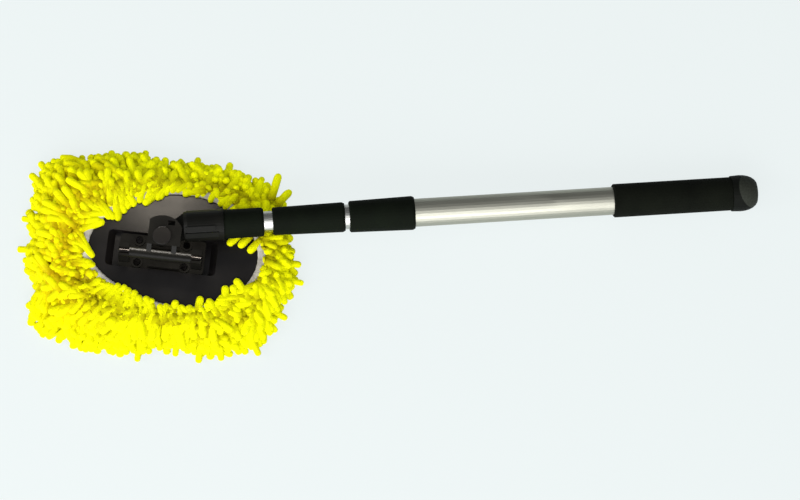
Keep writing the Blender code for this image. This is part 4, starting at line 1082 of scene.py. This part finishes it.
def light_studio():
    world = bpy.data.worlds.new("studio")
    world.use_nodes = True
    tree = world.node_tree
    sky = tree.nodes["Background"]
    sky.inputs["Color"].default_value = linear("#F4F7F8")
    heading = add_node(tree, "ShaderNodeTexCoord").outputs["Generated"]
    parts = add_node(tree, "ShaderNodeSeparateXYZ", links={0: heading})
    # dim behind the object, bright in front of it
    level = add_node(
        tree, "ShaderNodeMapRange",
        {"interpolation_type": "SMOOTHSTEP", "From Min": SKY_REACH, "From Max": -SKY_REACH,
         "To Min": SKY_BACK, "To Max": SKY_FRONT},
        {"Value": parts.outputs["Y"]})
    join(tree, sky, {"Strength": level.outputs["Result"]})
    bpy.context.scene.world = world
    add_lamp("front_softbox", (0.10, -1.25, 0.95), aim=(0.15, 0.0, 0.03), size=(1.8, 0.9), power=21)
    add_lamp("left_softbox", (-1.1, -0.5, 1.0), aim=(0.0, 0.0, 0.03), size=(0.8, 0.8), power=11)
    add_lamp("pole_softbox", (0.3, -1.35, 2.90), aim=(0.3, 0.03, 0.03), size=(3.2, 2.4), power=24)
    light_only("pole_softbox", TUBES)
    add_lamp("pole_strip", (0.3, -1.5, 0.30), aim=(0.3, 0.03, 0.05), size=(3.0, 0.6), power=8)
    light_only("pole_strip", TUBES)
    add_lamp(
        "pad_softbox", (0.37, 0.40, 0.48), aim=(0.07, 0.06, 0.03), size=(0.5, 0.3), power=1.5,
        colour="#EEFFE8")
    pile = [f"chenille_noodles_{number}" for number in range(1, SLICES + 1)]
    light_only("pad_softbox", pile + ["sole_noodles"])
    add_lamp(
        "back_window", (-0.002, 0.088, 0.150), aim=(-0.002, 0.088, 0.0), size=(0.065, 0.040),
        power=0.13, colour="#FFF3E0")
    light_only("back_window", ("mop_plate", "pivot_pin"))
    add_lamp(
        "edge_light", (0.0, 0.34, 0.13), aim=(0.0, 0.0, 0.03), size=(0.30, 0.03), power=5.4,
        colour="#FAF4EA", shadow=False)
    light_only("edge_light", ("hinge_bracket", "hinge_yoke", "hinge_rod"))


def add_camera():
    lens = bpy.data.cameras.new("photo_camera")
    lens.lens = 135.0
    lens.sensor_width = 36.0
    lens.clip_end = 20.0
    made = bpy.data.objects.new("photo_camera", lens)
    made.location = (0.3052148, -0.7234518, 2.5777905)
    made.rotation_euler = (0.2867220, 0.0080640, 0.0988134)
    bpy.context.scene.collection.objects.link(made)
    bpy.context.scene.camera = made


def main():
    bpy.context.scene.view_settings.view_transform = "Standard"
    chenille = chenille_microfibre()
    build_pad(chenille)
    build_sole(chenille)
    build_backing(backing_cloth())
    build_hem(hem_tape())
    plate = moulded_plastic(
        "moulded_polypropylene", "#0E0C0C", "#161414",
        roughness=0.32, gloss=0.30, grain=0.0005, depth=0.0001)
    joint = moulded_plastic(
        "glass_filled_nylon", "#0D0C0A", "#171613",
        roughness=0.36, gloss=0.13, grain=0.0004, depth=0.0001)
    pin = moulded_plastic(
        "black_acetal", "#0E0C0B", "#191716",
        roughness=0.42, gloss=0.19, grain=0.0004, depth=0.0001)
    ribbed = moulded_plastic(
        "moulded_nylon", "#0C0C09", "#141410",
        roughness=0.50, gloss=0.14, grain=0.0004, depth=0.0001)
    soft = moulded_plastic(
        "moulded_abs", "#080C06", "#10160D",
        roughness=0.75, gloss=0.08, grain=0.0007, depth=0.00015)
    cap = moulded_cap()
    bright = drawn_aluminium("bright_aluminium", "#B4B4B0", "#C8C7C2", roughness=0.26, anisotropic=0.3)
    satin = drawn_aluminium("satin_aluminium", "#A9A89C", "#B4B3A7", roughness=0.44, anisotropic=0.4)
    acetal = moulded_acetal()
    screws = tuple(f"bracket_screw_{number}" for number in (1, 2, 3, 4))
    finish_nodes((
        (plate, ("mop_plate",)),
        (joint, ("hinge_bracket", "hinge_yoke")),
        (pin, ("pivot_pin",)),
        (ribbed, ("pole_socket",)),
        (cap, ("end_cap",)),
        (soft, ("tip_collar", "middle_lock_nut", "outer_lock_nut")),
        (grip_foam(), ("grip_sleeve",)),
        (bright, ("inner_tube", "middle_tube")),
        (satin, ("outer_tube",)),
        (black_steel(), ("hinge_rod",) + screws),
        (zinc_steel(), ("pin_clip",)),
        (acetal, (
            "lower_washer", "upper_washer", "inner_guide_plug", "middle_guide_plug",
            "middle_collet", "outer_collet")),
        (braided_elastic(), ("hem_elastic",)),
    ))
    build_floor()
    light_studio()
    add_camera()


main()
